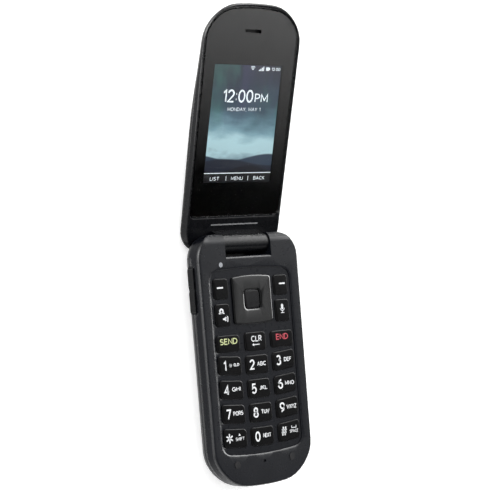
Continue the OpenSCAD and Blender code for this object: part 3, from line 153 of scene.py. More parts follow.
def product(tree, *factors):
    """Product of values."""
    result = factors[0]
    for factor in factors[1:]:
        result = math_node(tree, "MULTIPLY", result, factor)
    return result


def dot_product(tree, vector, direction):
    """How far a vector reaches in a direction."""
    node = add_node(tree, "ShaderNodeVectorMath", {0: vector, 1: direction},
                    operation="DOT_PRODUCT")
    return node.outputs["Value"]


def alignment(tree, vector, direction):
    """One for a unit vector along a direction or against it, zero for one square to it."""
    return math_node(tree, "ABSOLUTE", dot_product(tree, vector, direction))


def split(tree, vector):
    """X, Y and Z of a vector."""
    return add_node(tree, "ShaderNodeSeparateXYZ", {0: vector}).outputs


def coordinate(tree, kind="Object"):
    """A texture coordinate. Object is the place on the piece itself, in metres."""
    return add_node(tree, "ShaderNodeTexCoord").outputs[kind]


def clouds(tree, vector, stretch, scale, detail):
    """Noise over a vector whose X, Y and Z are first multiplied by stretch."""
    stretched = add_node(tree, "ShaderNodeVectorMath", {0: vector, 1: stretch},
                         operation="MULTIPLY").outputs[0]
    node = add_node(tree, "ShaderNodeTexNoise",
                    {"Vector": stretched, "Scale": scale, "Detail": detail})
    return node.outputs["Fac"]


def noise(tree, period, detail=2.0, stretch=(1, 1, 1)):
    """Noise whose features are about period millimetres apart, on the piece's own place."""
    return clouds(tree, coordinate(tree), stretch, 1 / (period * MM), detail)


def remap(tree, value, low, high, start=0.3, end=0.7, **settings):
    """A value from start to end stretched to the range from low to high."""
    node = add_node(tree, "ShaderNodeMapRange", {
        "Value": value, "From Min": start, "From Max": end, "To Min": low, "To Max": high},
        **settings)
    return node.outputs[0]


def mix_colours(tree, factor, first, second):
    """Blend of two colours."""
    node = add_node(tree, "ShaderNodeMix", {0: factor, 6: first, 7: second}, data_type="RGBA")
    return node.outputs[2]


def bump(tree, height, depth, normal=None):
    """Normal of a bumpy surface whose bumps are depth millimetres high."""
    node = add_node(tree, "ShaderNodeBump", {"Height": height, "Distance": depth * MM})
    if normal:
        set_inputs(tree, node, {"Normal": normal})
    return node.outputs[0]


# ---------- places on the phone

HINGE = next(joint for joint in frame["joints"] if joint["name"] == "lid_hinge")
HINGE_Y = HINGE["pos_m"][1]
# Angle at which the open lid rises
LEAN = math.radians(180 - HINGE["range_deg"][1])
# Directions that the flat faces of the base and of the open lid look in
BASE_UP = Vector((0.0, 0.0, 1.0))
LID_UP = Vector((0.0, -math.sin(LEAN), math.cos(LEAN)))
# Millimetre frame of the open lid: X across, Y from the hinge axis to the free end
LID = Matrix.Translation(HINGE["pos_m"]) @ Matrix.Rotation(LEAN, 4, "X") @ Matrix.Scale(MM, 4)

# Height of the field round the keys, with a little over it
FIELD_Z = 9.8
# Height of the lid's inner face over the hinge axis
FACE_W = -5.05
# The same from the origin along LID_UP, and a little under it, for the lid and for its frame
FACE_FROM_ORIGIN = LID_UP.dot(Vector(HINGE["pos_m"])) / MM + FACE_W
LID_FACE = FACE_FROM_ORIGIN - 0.25
FRAME_FACE = FACE_FROM_ORIGIN - 0.15
# Half width of the lens's recess in the lid, with its bevel
RECESS_HALF = 23.8


def lid_points(node):
    """Corners of a piece's mesh in the lid's frame, in millimetres."""
    back = LID.inverted()
    return [back @ corner.co for corner in NODES[node].data.vertices]


def lid_box(node):
    """Lowest and highest corner of a piece in the lid's frame, in millimetres."""
    points = lid_points(node)
    return (Vector([min(point[axis] for point in points) for axis in range(3)]),
            Vector([max(point[axis] for point in points) for axis in range(3)]))


def at_height(height):
    """Matrix of the lid's frame raised to a height over the hinge axis."""
    return LID @ Matrix.Translation((0, 0, height))


# ---------- rubbed and dull places

# Places that a hand rubs, in metres: full and end of each across, then along
PALM = ((-22.0 * MM, -19.5 * MM), (HINGE_Y - 2 * MM, HINGE_Y + 3 * MM))
THUMB = ((-14.0 * MM, 16.0 * MM), (115.0 * MM, 70.0 * MM))
# Shine added to the edges there, against one elsewhere
PALM_SHINE = 0.5
THUMB_SHINE = 11.0
# Rays that look round an edge that is to look rounded
ROUND_SAMPLES = 8
# Alignment of a normal with up where rubbing is full and where it ends towards a flat face,
# and where it ends and where it is full towards a side
FACE_FADE = (0.93, 0.985)
SIDE_FADE = (0.10, 0.35)
# Distances in millimetres over which rubbing rises beside the hinge, and gloss rises over a
# sunken height and beside a sunken width
HINGE_FADE = 2.5
HEIGHT_FADE = 0.2
WIDTH_FADE = 0.5
# Share of the gloss that the sunken part of a moulding keeps
SUNKEN_SHINE = 0.66


def held(tree, place):
    """One in a place that a hand rubs, zero on the rest."""
    across, along, _ = split(tree, coordinate(tree))
    return product(tree, remap(tree, across, 1, 0, *place[0]), remap(tree, along, 1, 0, *place[1]))


def rounder(tree, soft_edge, hand):
    """Normal whose sharp edges are rounded over soft_edge millimetres where hand is one."""
    plain = add_node(tree, "ShaderNodeNewGeometry").outputs["Normal"]
    rounding = add_node(tree, "ShaderNodeBevel", {"Radius": soft_edge * MM},
                        samples=ROUND_SAMPLES)
    node = add_node(tree, "ShaderNodeMix", {0: hand, 4: plain, 5: rounding.outputs[0]},
                    data_type="VECTOR")
    return node.outputs[1]


def worn_edges(tree, up, clear_of_hinge, normal, hand, extra):
    """One on the bevels and roundings between a piece's faces and its sides, zero on both and
    round the hinge, where nothing rubs, and extra more than one where hand is one."""
    if normal:
        normal = add_node(tree, "ShaderNodeVectorTransform", {0: normal}, vector_type="NORMAL",
                          convert_from="WORLD", convert_to="OBJECT").outputs[0]
    slope = alignment(tree, normal or coordinate(tree, "Normal"), up)
    off_face = remap(tree, slope, 1, 0, *FACE_FADE)
    off_side = remap(tree, slope, 0, 1, *SIDE_FADE)
    along = split(tree, coordinate(tree))[1]
    reach = math_node(tree, "ABSOLUTE", math_node(tree, "SUBTRACT", along, HINGE_Y))
    off_hinge = remap(tree, reach, 0, 1, clear_of_hinge * MM, (clear_of_hinge + HINGE_FADE) * MM)
    off_hinge = math_node(tree, "MAXIMUM", off_hinge, hand)
    shine = math_node(tree, "ADD", 1.0, product(tree, hand, extra))
    return product(tree, off_face, off_side, off_hinge, shine)


def shine_left(tree, up, dull_under, sunken, within, hand):
    """Share of the gloss that is left: sunken under a height and one over it. Where within is
    given, what lies farther from the middle or in a hand's place keeps its gloss too."""
    place = coordinate(tree)
    height = dot_product(tree, place, up)
    shine = remap(tree, height, sunken, 1, dull_under * MM, (dull_under + HEIGHT_FADE) * MM)
    if within:
        aside = math_node(tree, "ABSOLUTE", split(tree, place)[0])
        beside = remap(tree, aside, 0, 1, within * MM, (within + WIDTH_FADE) * MM)
        shine = math_node(tree, "MAXIMUM", math_node(tree, "MAXIMUM", shine, beside), hand)
    return shine


# ---------- finishes

# Slow drift of a moulding's colour: millimetres between its features, and its swing
DRIFT_PERIOD = 9.0
DRIFT_SWING = 0.1
# Light specks in a moulding: size against the grain, most cover and lightness
SPECK_SIZE = 1.7
SPECK_COVER = 0.25
SPECK_LIGHT = 1.5
# Uneven gloss of a moulding: millimetres between its features, and its swing
GLOSS_PERIOD = 2.5
GLOSS_SWING = 0.05


def moulded(name, colour, roughness, specular=0.5, grain=0.3, depth=0.0007, polish=None,
            up=BASE_UP, clear_of_hinge=5.0, dull_under=None, sunken=SUNKEN_SHINE, within=None,
            soft_edge=0.0, hand=None, extra=0.0):
    """Moulded plastic: a fine speckled grain of a depth, slow colour drift and slightly uneven
    gloss. Its edges are rubbed to the gloss polish from clear_of_hinge millimetres from the
    hinge on. The place hand is rubbed more by extra, and its sharp edges look rounded over
    soft_edge millimetres. The plastic keeps the share sunken of its gloss under the height
    dull_under, where it is nearer to the middle than within. Each only if it is given."""
    made, tree, shader = new_material(name)
    drift = noise(tree, DRIFT_PERIOD, detail=3.0)
    tint = mix_colours(tree, remap(tree, drift, 0, 1), shaded(colour, 1 - DRIFT_SWING),
                       shaded(colour, 1 + DRIFT_SWING))
    speck = noise(tree, grain * SPECK_SIZE, detail=3.0)
    tint = mix_colours(tree, remap(tree, speck, 0, SPECK_COVER), tint,
                       shaded(colour, SPECK_LIGHT))
    gloss = remap(tree, noise(tree, GLOSS_PERIOD, detail=4.0), roughness - GLOSS_SWING,
                  roughness + GLOSS_SWING)
    hand = held(tree, hand) if hand else 0.0
    normal = rounder(tree, soft_edge, hand) if soft_edge else None
    set_inputs(tree, shader, {
        "Base Color": tint, "Roughness": gloss, "Specular IOR Level": specular,
        "Normal": bump(tree, noise(tree, grain, detail=3.0), depth, normal)})
    if dull_under:
        shine = shine_left(tree, up, dull_under, sunken, within, hand)
        specular = product(tree, specular, shine)
    if polish:
        edges = worn_edges(tree, up, clear_of_hinge, normal, hand, extra)
        rubbed = product(tree, edges, polish)
        if within:
            rubbed = product(tree, rubbed, shine)
        set_inputs(tree, shader, {
            "Specular IOR Level": math_node(tree, "ADD", specular, rubbed)})
    return made


# Scratches of metal: millimetres between them, depth, darkest share of the colour, and what
# they take from the roughness and add to it
SCRATCH_PERIOD = 0.5
SCRATCH_DEPTH = 0.003
SCRATCH_SHADE = 0.82
SCRATCH_SMOOTH = 0.08
SCRATCH_ROUGH = 0.1


def metal(name, colour, roughness, stretch=(1, 1, 1)):
    """Metal with fine scratches, long in the direction whose factor in stretch is least."""
    made, tree, shader = new_material(name)
    scratch = noise(tree, SCRATCH_PERIOD, detail=4.0, stretch=stretch)
    set_inputs(tree, shader, {
        "Base Color": mix_colours(tree, remap(tree, scratch, 0, 1),
                                  shaded(colour, SCRATCH_SHADE), colour),
        "Roughness": remap(tree, scratch, roughness - SCRATCH_SMOOTH, roughness + SCRATCH_ROUGH),
        "Normal": bump(tree, scratch, SCRATCH_DEPTH), "Metallic": 1.0})
    return made


# Tracks of a circuit board: millimetres of a cell and of depth, width of a gap as a share of a
# cell, and lightness of the pads and the gaps
TRACK_CELL = 6.0
TRACK_DEPTH = 0.02
TRACK_GAP = 0.04
PAD_LIGHT = 1.35
GAP_LIGHT = 0.6
# Darker patches of the board: millimetres between them, most cover and lightness
PATCH_PERIOD = 3.0
PATCH_COVER = 0.5
PATCH_LIGHT = 0.7
BOARD_ROUGHNESS = 0.35


def circuit_board(name, colour):
    """Solder mask over fine copper tracks, with pads along some of them."""
    made, tree, shader = new_material(name)
    tracks = add_node(tree, "ShaderNodeTexBrick", {
        "Vector": coordinate(tree), "Color1": colour, "Color2": shaded(colour, PAD_LIGHT),
        "Mortar": shaded(colour, GAP_LIGHT), "Scale": 1 / (TRACK_CELL * MM),
        "Mortar Size": TRACK_GAP})
    patches = remap(tree, noise(tree, PATCH_PERIOD), 0, PATCH_COVER)
    set_inputs(tree, shader, {
        "Base Color": mix_colours(tree, patches, tracks.outputs["Color"],
                                  shaded(colour, PATCH_LIGHT)),
        "Normal": bump(tree, tracks.outputs["Fac"], TRACK_DEPTH), "Roughness": BOARD_ROUGHNESS})
    return made


# Ink on the edges of the clear lenses, and the alignments of a normal with up between which
# the ink gives way to the clear face
INK = linear(14, 14, 15)
INK_FADE = (0.9, 0.97)
# Film of handling: millimetres between its patches, its roughness, and the part of the noise
# over which it rises
FILM_PERIOD = 12.0
FILM_ROUGHNESS = 0.03
FILM_RISE = (0.45, 0.8)
ACRYLIC_IOR = 1.49


def clear(name):
    """Clear acrylic with a faint film of handling on its faces and black ink on its edges."""
    made, tree, shader = new_material(name)
    face = remap(tree, alignment(tree, coordinate(tree, "Normal"), LID_UP), 0, 1, *INK_FADE)
    film = remap(tree, noise(tree, FILM_PERIOD, detail=5.0), 0.0, FILM_ROUGHNESS, *FILM_RISE)
    set_inputs(tree, shader, {
        "Transmission Weight": face, "Base Color": mix_colours(tree, face, INK, WHITE),
        "Roughness": film, "IOR": ACRYLIC_IOR})
    return made


# Unevenness of print: millimetres between its features, and darkest share of the colour
PRINT_PERIOD = 0.6
PRINT_SHADE = 0.9


def printed(name, colour, glow=0.0, roughness=0.5):
    """Printed ink, or lit display segments when it glows, slightly uneven in tone."""
    made, tree, shader = new_material(name)
    uneven = remap(tree, noise(tree, PRINT_PERIOD, detail=3.0), 0, 1)
    tint = mix_colours(tree, uneven, shaded(colour, PRINT_SHADE), colour)
    set_inputs(tree, shader, {"Base Color": tint, "Roughness": roughness})
    if glow:
        set_inputs(tree, shader, {"Emission Color": tint, "Emission Strength": glow})
    return made


# ---------- finish of the lit picture

# Colours of the sky from the picture's foot to its top
SKY = [(0.00, linear(40, 48, 62)), (0.17, linear(100, 124, 140)), (0.25, linear(182, 218, 226)),
       (0.35, linear(186, 224, 232)), (0.45, linear(132, 172, 186)), (0.55, linear(86, 118, 134)),
       (0.64, linear(58, 80, 96)), (0.80, linear(44, 58, 72)), (1.00, linear(42, 44, 58))]
# Haze: stretch of its noise, and how far it moves the sky's colours up and down
HAZE_STRETCH = (2.0, 7.0, 1.0)
HAZE_SWING = 0.07
# Tints that drift across the upper sky: stretch of their noise, the parts of it over which
# each rises, their most cover and the heights over which they rise
SKY_TEAL = linear(66, 118, 112)
SKY_VIOLET = linear(62, 64, 96)
TINT_STRETCH = (3.0, 1.2, 1.0)
TEAL_RISE = (0.5, 0.66)
VIOLET_RISE = (0.34, 0.5)
TINT_COVER = 0.6
TINT_HEIGHTS = (0.38, 0.62)
# Ridges of the picture, far to near: height, swing, waves across, phase and colour
HILLS = [(0.215, 0.026, 0.9, 2.6, linear(50, 64, 82)),
         (0.170, 0.030, 0.7, 0.4, linear(30, 36, 50)),
         (0.115, 0.028, 1.1, 3.4, linear(20, 22, 32))]
# Softness of the ridge lines
HILL_SOFT = 0.006
# Light that the picture and its marks, and the bar behind its labels, give off
SCREEN_GLOW = 0.9
BAR_GLOW = 0.5


def sky(tree, place, up):
    """Colour of a hazy sky that is brightest over the hills, with two tints in its upper part."""
    haze = clouds(tree, place, HAZE_STRETCH, scale=1.0, detail=4.0)
    level = math_node(tree, "ADD", up, remap(tree, haze, -HAZE_SWING, HAZE_SWING))
    ramp = add_node(tree, "ShaderNodeValToRGB", {"Fac": level})
    stops = ramp.color_ramp.elements
    for index, (at, colour) in enumerate(SKY):
        stop = stops[index] if index < 2 else stops.new(at)
        stop.position = at
        stop.color = colour
    drift = clouds(tree, place, TINT_STRETCH, scale=1.0, detail=3.0)
    cover = remap(tree, up, 0, TINT_COVER, *TINT_HEIGHTS)
    teal = product(tree, remap(tree, drift, 0, 1, *TEAL_RISE), cover)
    violet = product(tree, remap(tree, drift, 1, 0, *VIOLET_RISE), cover)
    tint = mix_colours(tree, teal, ramp.outputs["Color"], SKY_TEAL)
    return mix_colours(tree, violet, tint, SKY_VIOLET)


def ridge(tree, across, height, swing, turns, start):
    """Height of one rounded ridge line across the picture."""
    angle = math_node(tree, "MULTIPLY_ADD", across, 2 * math.pi * turns, start)
    return math_node(tree, "MULTIPLY_ADD", math_node(tree, "SINE", angle), swing, height)


def picture(name):
    """Lit picture of a sky over low rolling hills."""
    made, tree, shader = new_material(name)
    place = coordinate(tree, "Generated")
    across, up, _ = split(tree, place)
    tint = sky(tree, place, up)
    for *line, colour in HILLS:
        under = math_node(tree, "SUBTRACT", ridge(tree, across, *line), up)
        tint = mix_colours(tree, remap(tree, under, 0, 1, -HILL_SOFT, HILL_SOFT), tint, colour)
    set_inputs(tree, shader, {
        "Base Color": BLACK, "Emission Color": tint, "Emission Strength": SCREEN_GLOW})
    return made


# ---------- finishes of the phone

LID_PLASTIC = {"colour": linear(8, 9, 12), "roughness": 0.28, "specular": 0.19, "polish": 0.12,
               "up": LID_UP, "clear_of_hinge": 12.0}


def make_finishes():
    """Finish of each material slot of the record."""
    return {
        "shell_plastic": moulded("finish_shell", linear(13, 15, 20), 0.30, 0.19, depth=0.0003,
                                 polish=0.55, dull_under=FIELD_Z, soft_edge=1.6, hand=PALM,
                                 extra=PALM_SHINE),
        "lid_plastic": moulded("finish_lid", depth=0.0004, dull_under=LID_FACE, **LID_PLASTIC),
        "key_plastic": moulded("finish_keys", linear(8, 8, 9), 0.34, 0.05, grain=0.2,
                               depth=0.001, polish=0.2),
        "nav_plastic": moulded("finish_ring", linear(9, 10, 11), 0.20, 0.30, grain=0.2,
                               depth=0.001, polish=0.7),
        "spring_steel": metal("finish_spring", linear(190, 192, 196), 0.25),
        "rocker_plastic": moulded("finish_rocker", linear(12, 13, 15), 0.30, 0.16, polish=0.3),
        "battery_case": moulded("finish_battery", linear(34, 35, 38), 0.5, 0.4, grain=0.5,
                                depth=0.006),
        "contact_gold": metal("finish_gold", linear(214, 172, 86), 0.22),
        "board": circuit_board("finish_board", linear(24, 82, 52)),
        "shield_metal": metal("finish_shield", linear(186, 188, 192), 0.32, (1, 0.1, 1)),
        "dome_film": moulded("finish_dome_film", linear(200, 204, 208), 0.3),
        "silicone": moulded("finish_silicone", linear(128, 130, 134), 0.6, 0.3),
        "card_plastic": moulded("finish_card", linear(224, 222, 214), 0.4),
        "jack_plastic": moulded("finish_jack", linear(22, 23, 25), 0.35),
        "weight_metal": metal("finish_weight", linear(150, 150, 154), 0.4),
        "light_pipe": moulded("finish_light_pipe", linear(134, 137, 142), 0.25, grain=0.2,
                              depth=0.001),
        "bumper_rubber": moulded("finish_bumper", linear(24, 24, 26), 0.7, 0.25),
        "screw_steel": metal("finish_screw", linear(142, 144, 148), 0.35),
        "hinge_steel": metal("finish_hinge", linear(160, 162, 166), 0.3, (0.1, 1, 1)),
        "flex_film": moulded("finish_flex", linear(176, 106, 38), 0.35),
        "lens_black": moulded("finish_lens_black", linear(7, 7, 8), 0.12, grain=0.4,
                              depth=0.0003),
        "clear_window": clear("finish_window"),
        "display_glass": moulded("finish_display", linear(20, 24, 28), 0.15, grain=0.5,
                                 depth=0.0004),
        "camera_trim": metal("finish_camera_trim", linear(84, 86, 90), 0.28),
        "legend_print": printed("finish_legend", linear(222, 224, 226)),
    }


def make_node_finishes(finishes):
    """Finish of each node that doesn't take the one of its slot."""
    return {
        "ok_key": moulded("finish_ok", linear(13, 13, 15), 0.3, 0.12),
        "lid_inner_shell": moulded("finish_lid_frame", depth=0.0001, dull_under=FRAME_FACE,
                                   sunken=0.1, within=RECESS_HALF, soft_edge=1.2, hand=THUMB,
                                   extra=THUMB_SHINE, **LID_PLASTIC),
        "display_lens": finishes["clear_window"],
    }


# ---------- carried-over pieces

SMOOTH_ANGLE = math.radians(32)
WELD_GAP = 0.0005 * MM
# How far large faces lead where normals are weighted, at Blender's most
FACE_WEIGHT = 100


def smoothing_group():
    """Geometry nodes that weld a piece's faces and shade it smooth up to SMOOTH_ANGLE."""
    group = bpy.data.node_groups.new("smoothing", "GeometryNodeTree")
    for way in ("INPUT", "OUTPUT"):
        group.interface.new_socket("Geometry", in_out=way, socket_type="NodeSocketGeometry")
    start = add_node(group, "NodeGroupInput")
    weld = add_node(group, "GeometryNodeMergeByDistance",
                    {"Geometry": start.outputs[0], "Distance": WELD_GAP})
    faces = add_node(group, "GeometryNodeSetShadeSmooth", {"Geometry": weld.outputs[0]})
    angle = add_node(group, "GeometryNodeInputMeshEdgeAngle")
    soft = add_node(group, "FunctionNodeCompare",
                    {0: angle.outputs["Unsigned Angle"], 1: SMOOTH_ANGLE}, operation="LESS_EQUAL")
    edges = add_node(group, "GeometryNodeSetShadeSmooth", {
        "Geometry": faces.outputs[0], "Shade Smooth": soft.outputs[0]}, domain="EDGE")
    add_node(group, "NodeGroupOutput", {0: edges.outputs[0]})
    return group


def dress_frame(finishes):
    """Gives every carried-over piece its finish and smooth shading."""
    group = smoothing_group()
    node_finishes = make_node_finishes(finishes)
    for piece in NODES.values():
        for place in piece.material_slots:
            place.material = finishes[place.material.name]
        if piece.name in node_finishes:
            piece.material_slots[0].material = node_finishes[piece.name]
        normals = piece.data.attributes.get("custom_normal")
        if normals:
            piece.data.attributes.remove(normals)
        piece.modifiers.new("smoothing", "NODES").node_group = group
        weighted = piece.modifiers.new("weighted_normals", "WEIGHTED_NORMAL")
        weighted.keep_sharp = True
        weighted.weight = FACE_WEIGHT


# ---------- flat shapes in millimetres

# Thickness of prints, and the gap that keeps them clear of the surface below
PRINT_T = 0.02
PRINT_GAP = 0.005
# Angle between the points of an oval, in degrees
OVAL_STEP = 22.5


def prism(mesh, outline, high=PRINT_T):
    """Adds the closed prism over an outline, from height zero to a height."""
    lower = [mesh.verts.new((x, y, 0.0)) for x, y in outline]
    upper = [mesh.verts.new((x, y, high)) for x, y in outline]
    mesh.faces.new(reversed(lower))
    mesh.faces.new(upper)
    for i in range(len(outline)):
        j = (i + 1) % len(outline)
        mesh.faces.new((lower[i], lower[j], upper[j], upper[i]))


def bar(mesh, x0, y0, x1, y1):
    """Adds a flat rectangle."""
    prism(mesh, [(x0, y0), (x1, y0), (x1, y1), (x0, y1)])


def oval(x, y, across, up, start=0, end=360, steps=None):
    """Points along an ellipse or part of it, with its angles in degrees."""
    steps = steps or max(2, round(abs(end - start) / OVAL_STEP))
    angles = [math.radians(start + (end - start) * i / steps) for i in range(steps + 1)]
    return [(x + across * math.cos(angle), y + up * math.sin(angle)) for angle in angles]


def arc(x, y, radius, start, end, steps):
    """Points along an arc, with its angles in degrees."""
    return oval(x, y, radius, radius, start, end, steps)


def band(mesh, x, y, inner, outer, start=0, end=360, steps=24):
    """Adds a curved band between two radii, closed when it goes all the way round."""
    inside = arc(x, y, inner, start, end, steps)
    outside = arc(x, y, outer, start, end, steps)
    if end - start < 360:
        prism(mesh, outside + inside[::-1])
        return
    rings = [[mesh.verts.new((*point, z)) for point in ring[:-1]]
             for ring in (inside, outside) for z in (0.0, PRINT_T)]
    low_inside, high_inside, low_outside, high_outside = rings
    walls = [(low_outside, high_outside), (high_outside, high_inside),
             (high_inside, low_inside), (low_inside, low_outside)]
    for i in range(steps):
        j = (i + 1) % steps
        for one, two in walls:
            mesh.faces.new((one[i], one[j], two[j], two[i]))


def rounded(x0, x1, y0, y1, radius, steps=4):
    """Outline of a rectangle with round corners."""
    corners = [(x1 - radius, y0 + radius, -90), (x1 - radius, y1 - radius, 0),
               (x0 + radius, y1 - radius, 90), (x0 + radius, y0 + radius, 180)]
    return [point for x, y, start in corners
            for point in arc(x, y, radius, start, start + 90, steps)]


def centred(width, height, y, radius):
    """Outline of a rectangle with round corners, whose middle is on the middle line at y."""
    return rounded(-width / 2, width / 2, y - height / 2, y + height / 2, radius)


# Signs drawn by strokes in a box one unit high: width, then the points of each stroke
SIGNS = {
    " ": (0.3, []),
    "0": (0.60, [oval(0.30, 0.5, 0.30, 0.5)]),
    "1": (0.24, [[(0.0, 0.76), (0.24, 1.0), (0.24, 0.0)]]),
    "2": (0.58, [oval(0.29, 0.72, 0.28, 0.28, 170, -35) + [(0.0, 0.0), (0.58, 0.0)]]),
    "3": (0.56, [oval(0.27, 0.75, 0.25, 0.25, 150, -90), oval(0.27, 0.26, 0.29, 0.26, 90, -150)]),
    "4": (0.62, [[(0.46, 0.0), (0.46, 1.0), (0.0, 0.3), (0.62, 0.3)]]),
    "5": (0.58, [[(0.54, 1.0), (0.1, 1.0), (0.06, 0.52)]
                 + oval(0.28, 0.32, 0.3, 0.32, 120, -150)]),
    "6": (0.60, [oval(0.62, 0.31, 0.62, 0.69, 105, 180), oval(0.30, 0.31, 0.30, 0.31)]),
    "7": (0.58, [[(0.0, 1.0), (0.58, 1.0), (0.2, 0.0)]]),
    "8": (0.58, [oval(0.29, 0.76, 0.24, 0.24), oval(0.29, 0.26, 0.29, 0.26)]),
    "9": (0.60, [oval(-0.02, 0.69, 0.62, 0.69, -75, 0), oval(0.30, 0.69, 0.30, 0.31)]),
    "#": (0.80, [[(0.12, 0.0), (0.32, 1.0)], [(0.48, 0.0), (0.68, 1.0)],
                 [(0.0, 0.34), (0.74, 0.34)], [(0.06, 0.66), (0.80, 0.66)]]),
    "@": (0.94, [oval(0.45, 0.46, 0.45, 0.5, 310, 0) + oval(0.45, 0.46, 0.45, 0.5, 22, 290),
                 oval(0.43, 0.46, 0.19, 0.21),
                 [(0.64, 0.64), (0.64, 0.27), (0.82, 0.27), (0.9, 0.46)]]),
    ":": (0.06, [[(0.0, 0.2), (0.06, 0.2)], [(0.0, 0.68), (0.06, 0.68)]]),
    ",": (0.08, [[(0.08, 0.04), (0.0, -0.16)]]),
    "A": (0.74, [[(0.0, 0.0), (0.37, 1.0), (0.74, 0.0)], [(0.14, 0.34), (0.60, 0.34)]]),
    "B": (0.60, [[(0.0, 0.52), (0.3, 0.52)] + oval(0.32, 0.26, 0.28, 0.26, 90, -90)
                 + [(0.0, 0.0), (0.0, 1.0)] + oval(0.3, 0.76, 0.25, 0.24, 90, -90)]),
    "C": (0.74, [oval(0.42, 0.5, 0.42, 0.5, 48, 312)]),
    "D": (0.68, [[(0.22, 1.0), (0.0, 1.0), (0.0, 0.0)] + oval(0.22, 0.5, 0.46, 0.5, -90, 90)]),
    "E": (0.52, [[(0.52, 1.0), (0.0, 1.0), (0.0, 0.0), (0.52, 0.0)], [(0.0, 0.52), (0.46, 0.52)]]),
    "F": (0.52, [[(0.52, 1.0), (0.0, 1.0), (0.0, 0.0)], [(0.0, 0.52), (0.44, 0.52)]]),
    "G": (0.80, [oval(0.42, 0.5, 0.42, 0.5, 48, 360) + [(0.5, 0.48)]]),
    "H": (0.64, [[(0.0, 0.0), (0.0, 1.0)], [(0.64, 0.0), (0.64, 1.0)],
                 [(0.0, 0.52), (0.64, 0.52)]]),
    "I": (0.01, [[(0.0, 0.0), (0.0, 1.0)]]),
    "J": (0.36, [[(0.36, 1.0)] + oval(0.16, 0.24, 0.20, 0.24, 0, -140)]),
    "K": (0.60, [[(0.0, 0.0), (0.0, 1.0)], [(0.56, 1.0), (0.0, 0.42)],
                 [(0.16, 0.58), (0.60, 0.0)]]),
    "L": (0.50, [[(0.0, 1.0), (0.0, 0.0), (0.50, 0.0)]]),
    "M": (0.80, [[(0.0, 0.0), (0.0, 1.0), (0.40, 0.2), (0.80, 1.0), (0.80, 0.0)]]),
    "N": (0.66, [[(0.0, 0.0), (0.0, 1.0), (0.66, 0.0), (0.66, 1.0)]]),
    "O": (0.84, [oval(0.42, 0.5, 0.42, 0.5)]),
    "P": (0.56, [[(0.0, 0.0), (0.0, 1.0)] + oval(0.28, 0.73, 0.28, 0.27, 90, -90)
                 + [(0.0, 0.46)]]),
    "Q": (0.84, [oval(0.42, 0.5, 0.42, 0.5), [(0.54, 0.26), (0.84, -0.06)]]),
    "R": (0.58, [[(0.0, 0.0), (0.0, 1.0)] + oval(0.28, 0.74, 0.27, 0.26, 90, -90) + [(0.0, 0.48)],
                 [(0.28, 0.48), (0.58, 0.0)]]),
    "S": (0.56, [oval(0.28, 0.755, 0.25, 0.245, 40, 270)
                 + oval(0.28, 0.255, 0.28, 0.255, 80, -145)]),
    "T": (0.62, [[(0.0, 1.0), (0.62, 1.0)], [(0.31, 1.0), (0.31, 0.0)]]),
    "U": (0.62, [[(0.0, 1.0)] + oval(0.31, 0.3, 0.31, 0.3, 180, 360) + [(0.62, 1.0)]]),
    "V": (0.70, [[(0.0, 1.0), (0.35, 0.0), (0.70, 1.0)]]),
    "W": (1.00, [[(0.0, 1.0), (0.25, 0.0), (0.50, 0.9), (0.75, 0.0), (1.00, 1.0)]]),
    "X": (0.64, [[(0.0, 0.0), (0.64, 1.0)], [(0.0, 1.0), (0.64, 0.0)]]),
    "Y": (0.66, [[(0.0, 1.0), (0.33, 0.48), (0.66, 1.0)], [(0.33, 0.48), (0.33, 0.0)]]),
    "Z": (0.60, [[(0.0, 1.0), (0.60, 1.0), (0.0, 0.0), (0.60, 0.0)]]),
}
# Share of a sign's height between two signs
SIGN_GAP = 0.24
# Most that the corner of a stroke reaches out, in half widths
MITRE_LIMIT = 1.8
# Distance within which two points are one, and the least sum of a corner's two directions
SAME_POINT = 1e-6
LEAST_SUM = 0.01


def stroke(mesh, points, half):
    """Adds a flat stroke of even width along points, closed when it ends where it starts."""
    path = [Vector(point) for point in points]
    closed = (path[0] - path[-1]).length < SAME_POINT
    if closed:
        path.pop()
    count = len(path)
    rings = []
    for i, point in enumerate(path):
        before = (point - path[i - 1]).normalized() if closed or i else None
        after = (path[(i + 1) % count] - point).normalized() if closed or i < count - 1 else None
        one, two = before or after, after or before
        across = Vector((-one.y - two.y, one.x + two.x))
        reach = min(MITRE_LIMIT, 2 / max(across.length, LEAST_SUM)) * half
        left = point + across.normalized() * reach
        right = point - across.normalized() * reach
        rings.append([mesh.verts.new((*corner, z)) for corner, z in (
            (left, 0.0), (right, 0.0), (right, PRINT_T), (left, PRINT_T))])
    for i in range(count if closed else count - 1):
        first, second = rings[i], rings[(i + 1) % count]
        for side in range(4):
            beside = (side + 1) % 4
            mesh.faces.new((first[side], first[beside], second[beside], second[side]))
    if not closed:
        mesh.faces.new(rings[0][::-1])
        mesh.faces.new(rings[-1])


def words(mesh, line, x, y, height, width=None, weight=0.16):
    """Adds words centred on a point, stretched to a width if given, with strokes whose width
    is a share of the height."""
    half = height * weight / 2
    reach = sum(SIGNS[sign][0] + SIGN_GAP for sign in line) - SIGN_GAP
    up = height - 2 * half
    along = (width - 2 * half) / reach if width else up
    place = x - reach * along / 2
    for sign in line:
        for points in SIGNS[sign][1]:
            stroke(mesh, [(place + px * along, y - up / 2 + py * up) for px, py in points], half)
        place += (SIGNS[sign][0] + SIGN_GAP) * along


def finish_piece(mesh, name, matrix, body, material):
    """Turns flat shapes in millimetres into a piece of the phone that rides on a body."""
    bmesh.ops.recalc_face_normals(mesh, faces=mesh.faces)
    bmesh.ops.transform(mesh, matrix=matrix, verts=mesh.verts)
    data = bpy.data.meshes.new(name)
    mesh.to_mesh(data)
    mesh.free()
    data.materials.append(material)
    piece = add_object(name, data)
    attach(piece, body)


# ---------- key legends
# Places on a key are millimetres from the middle of its top

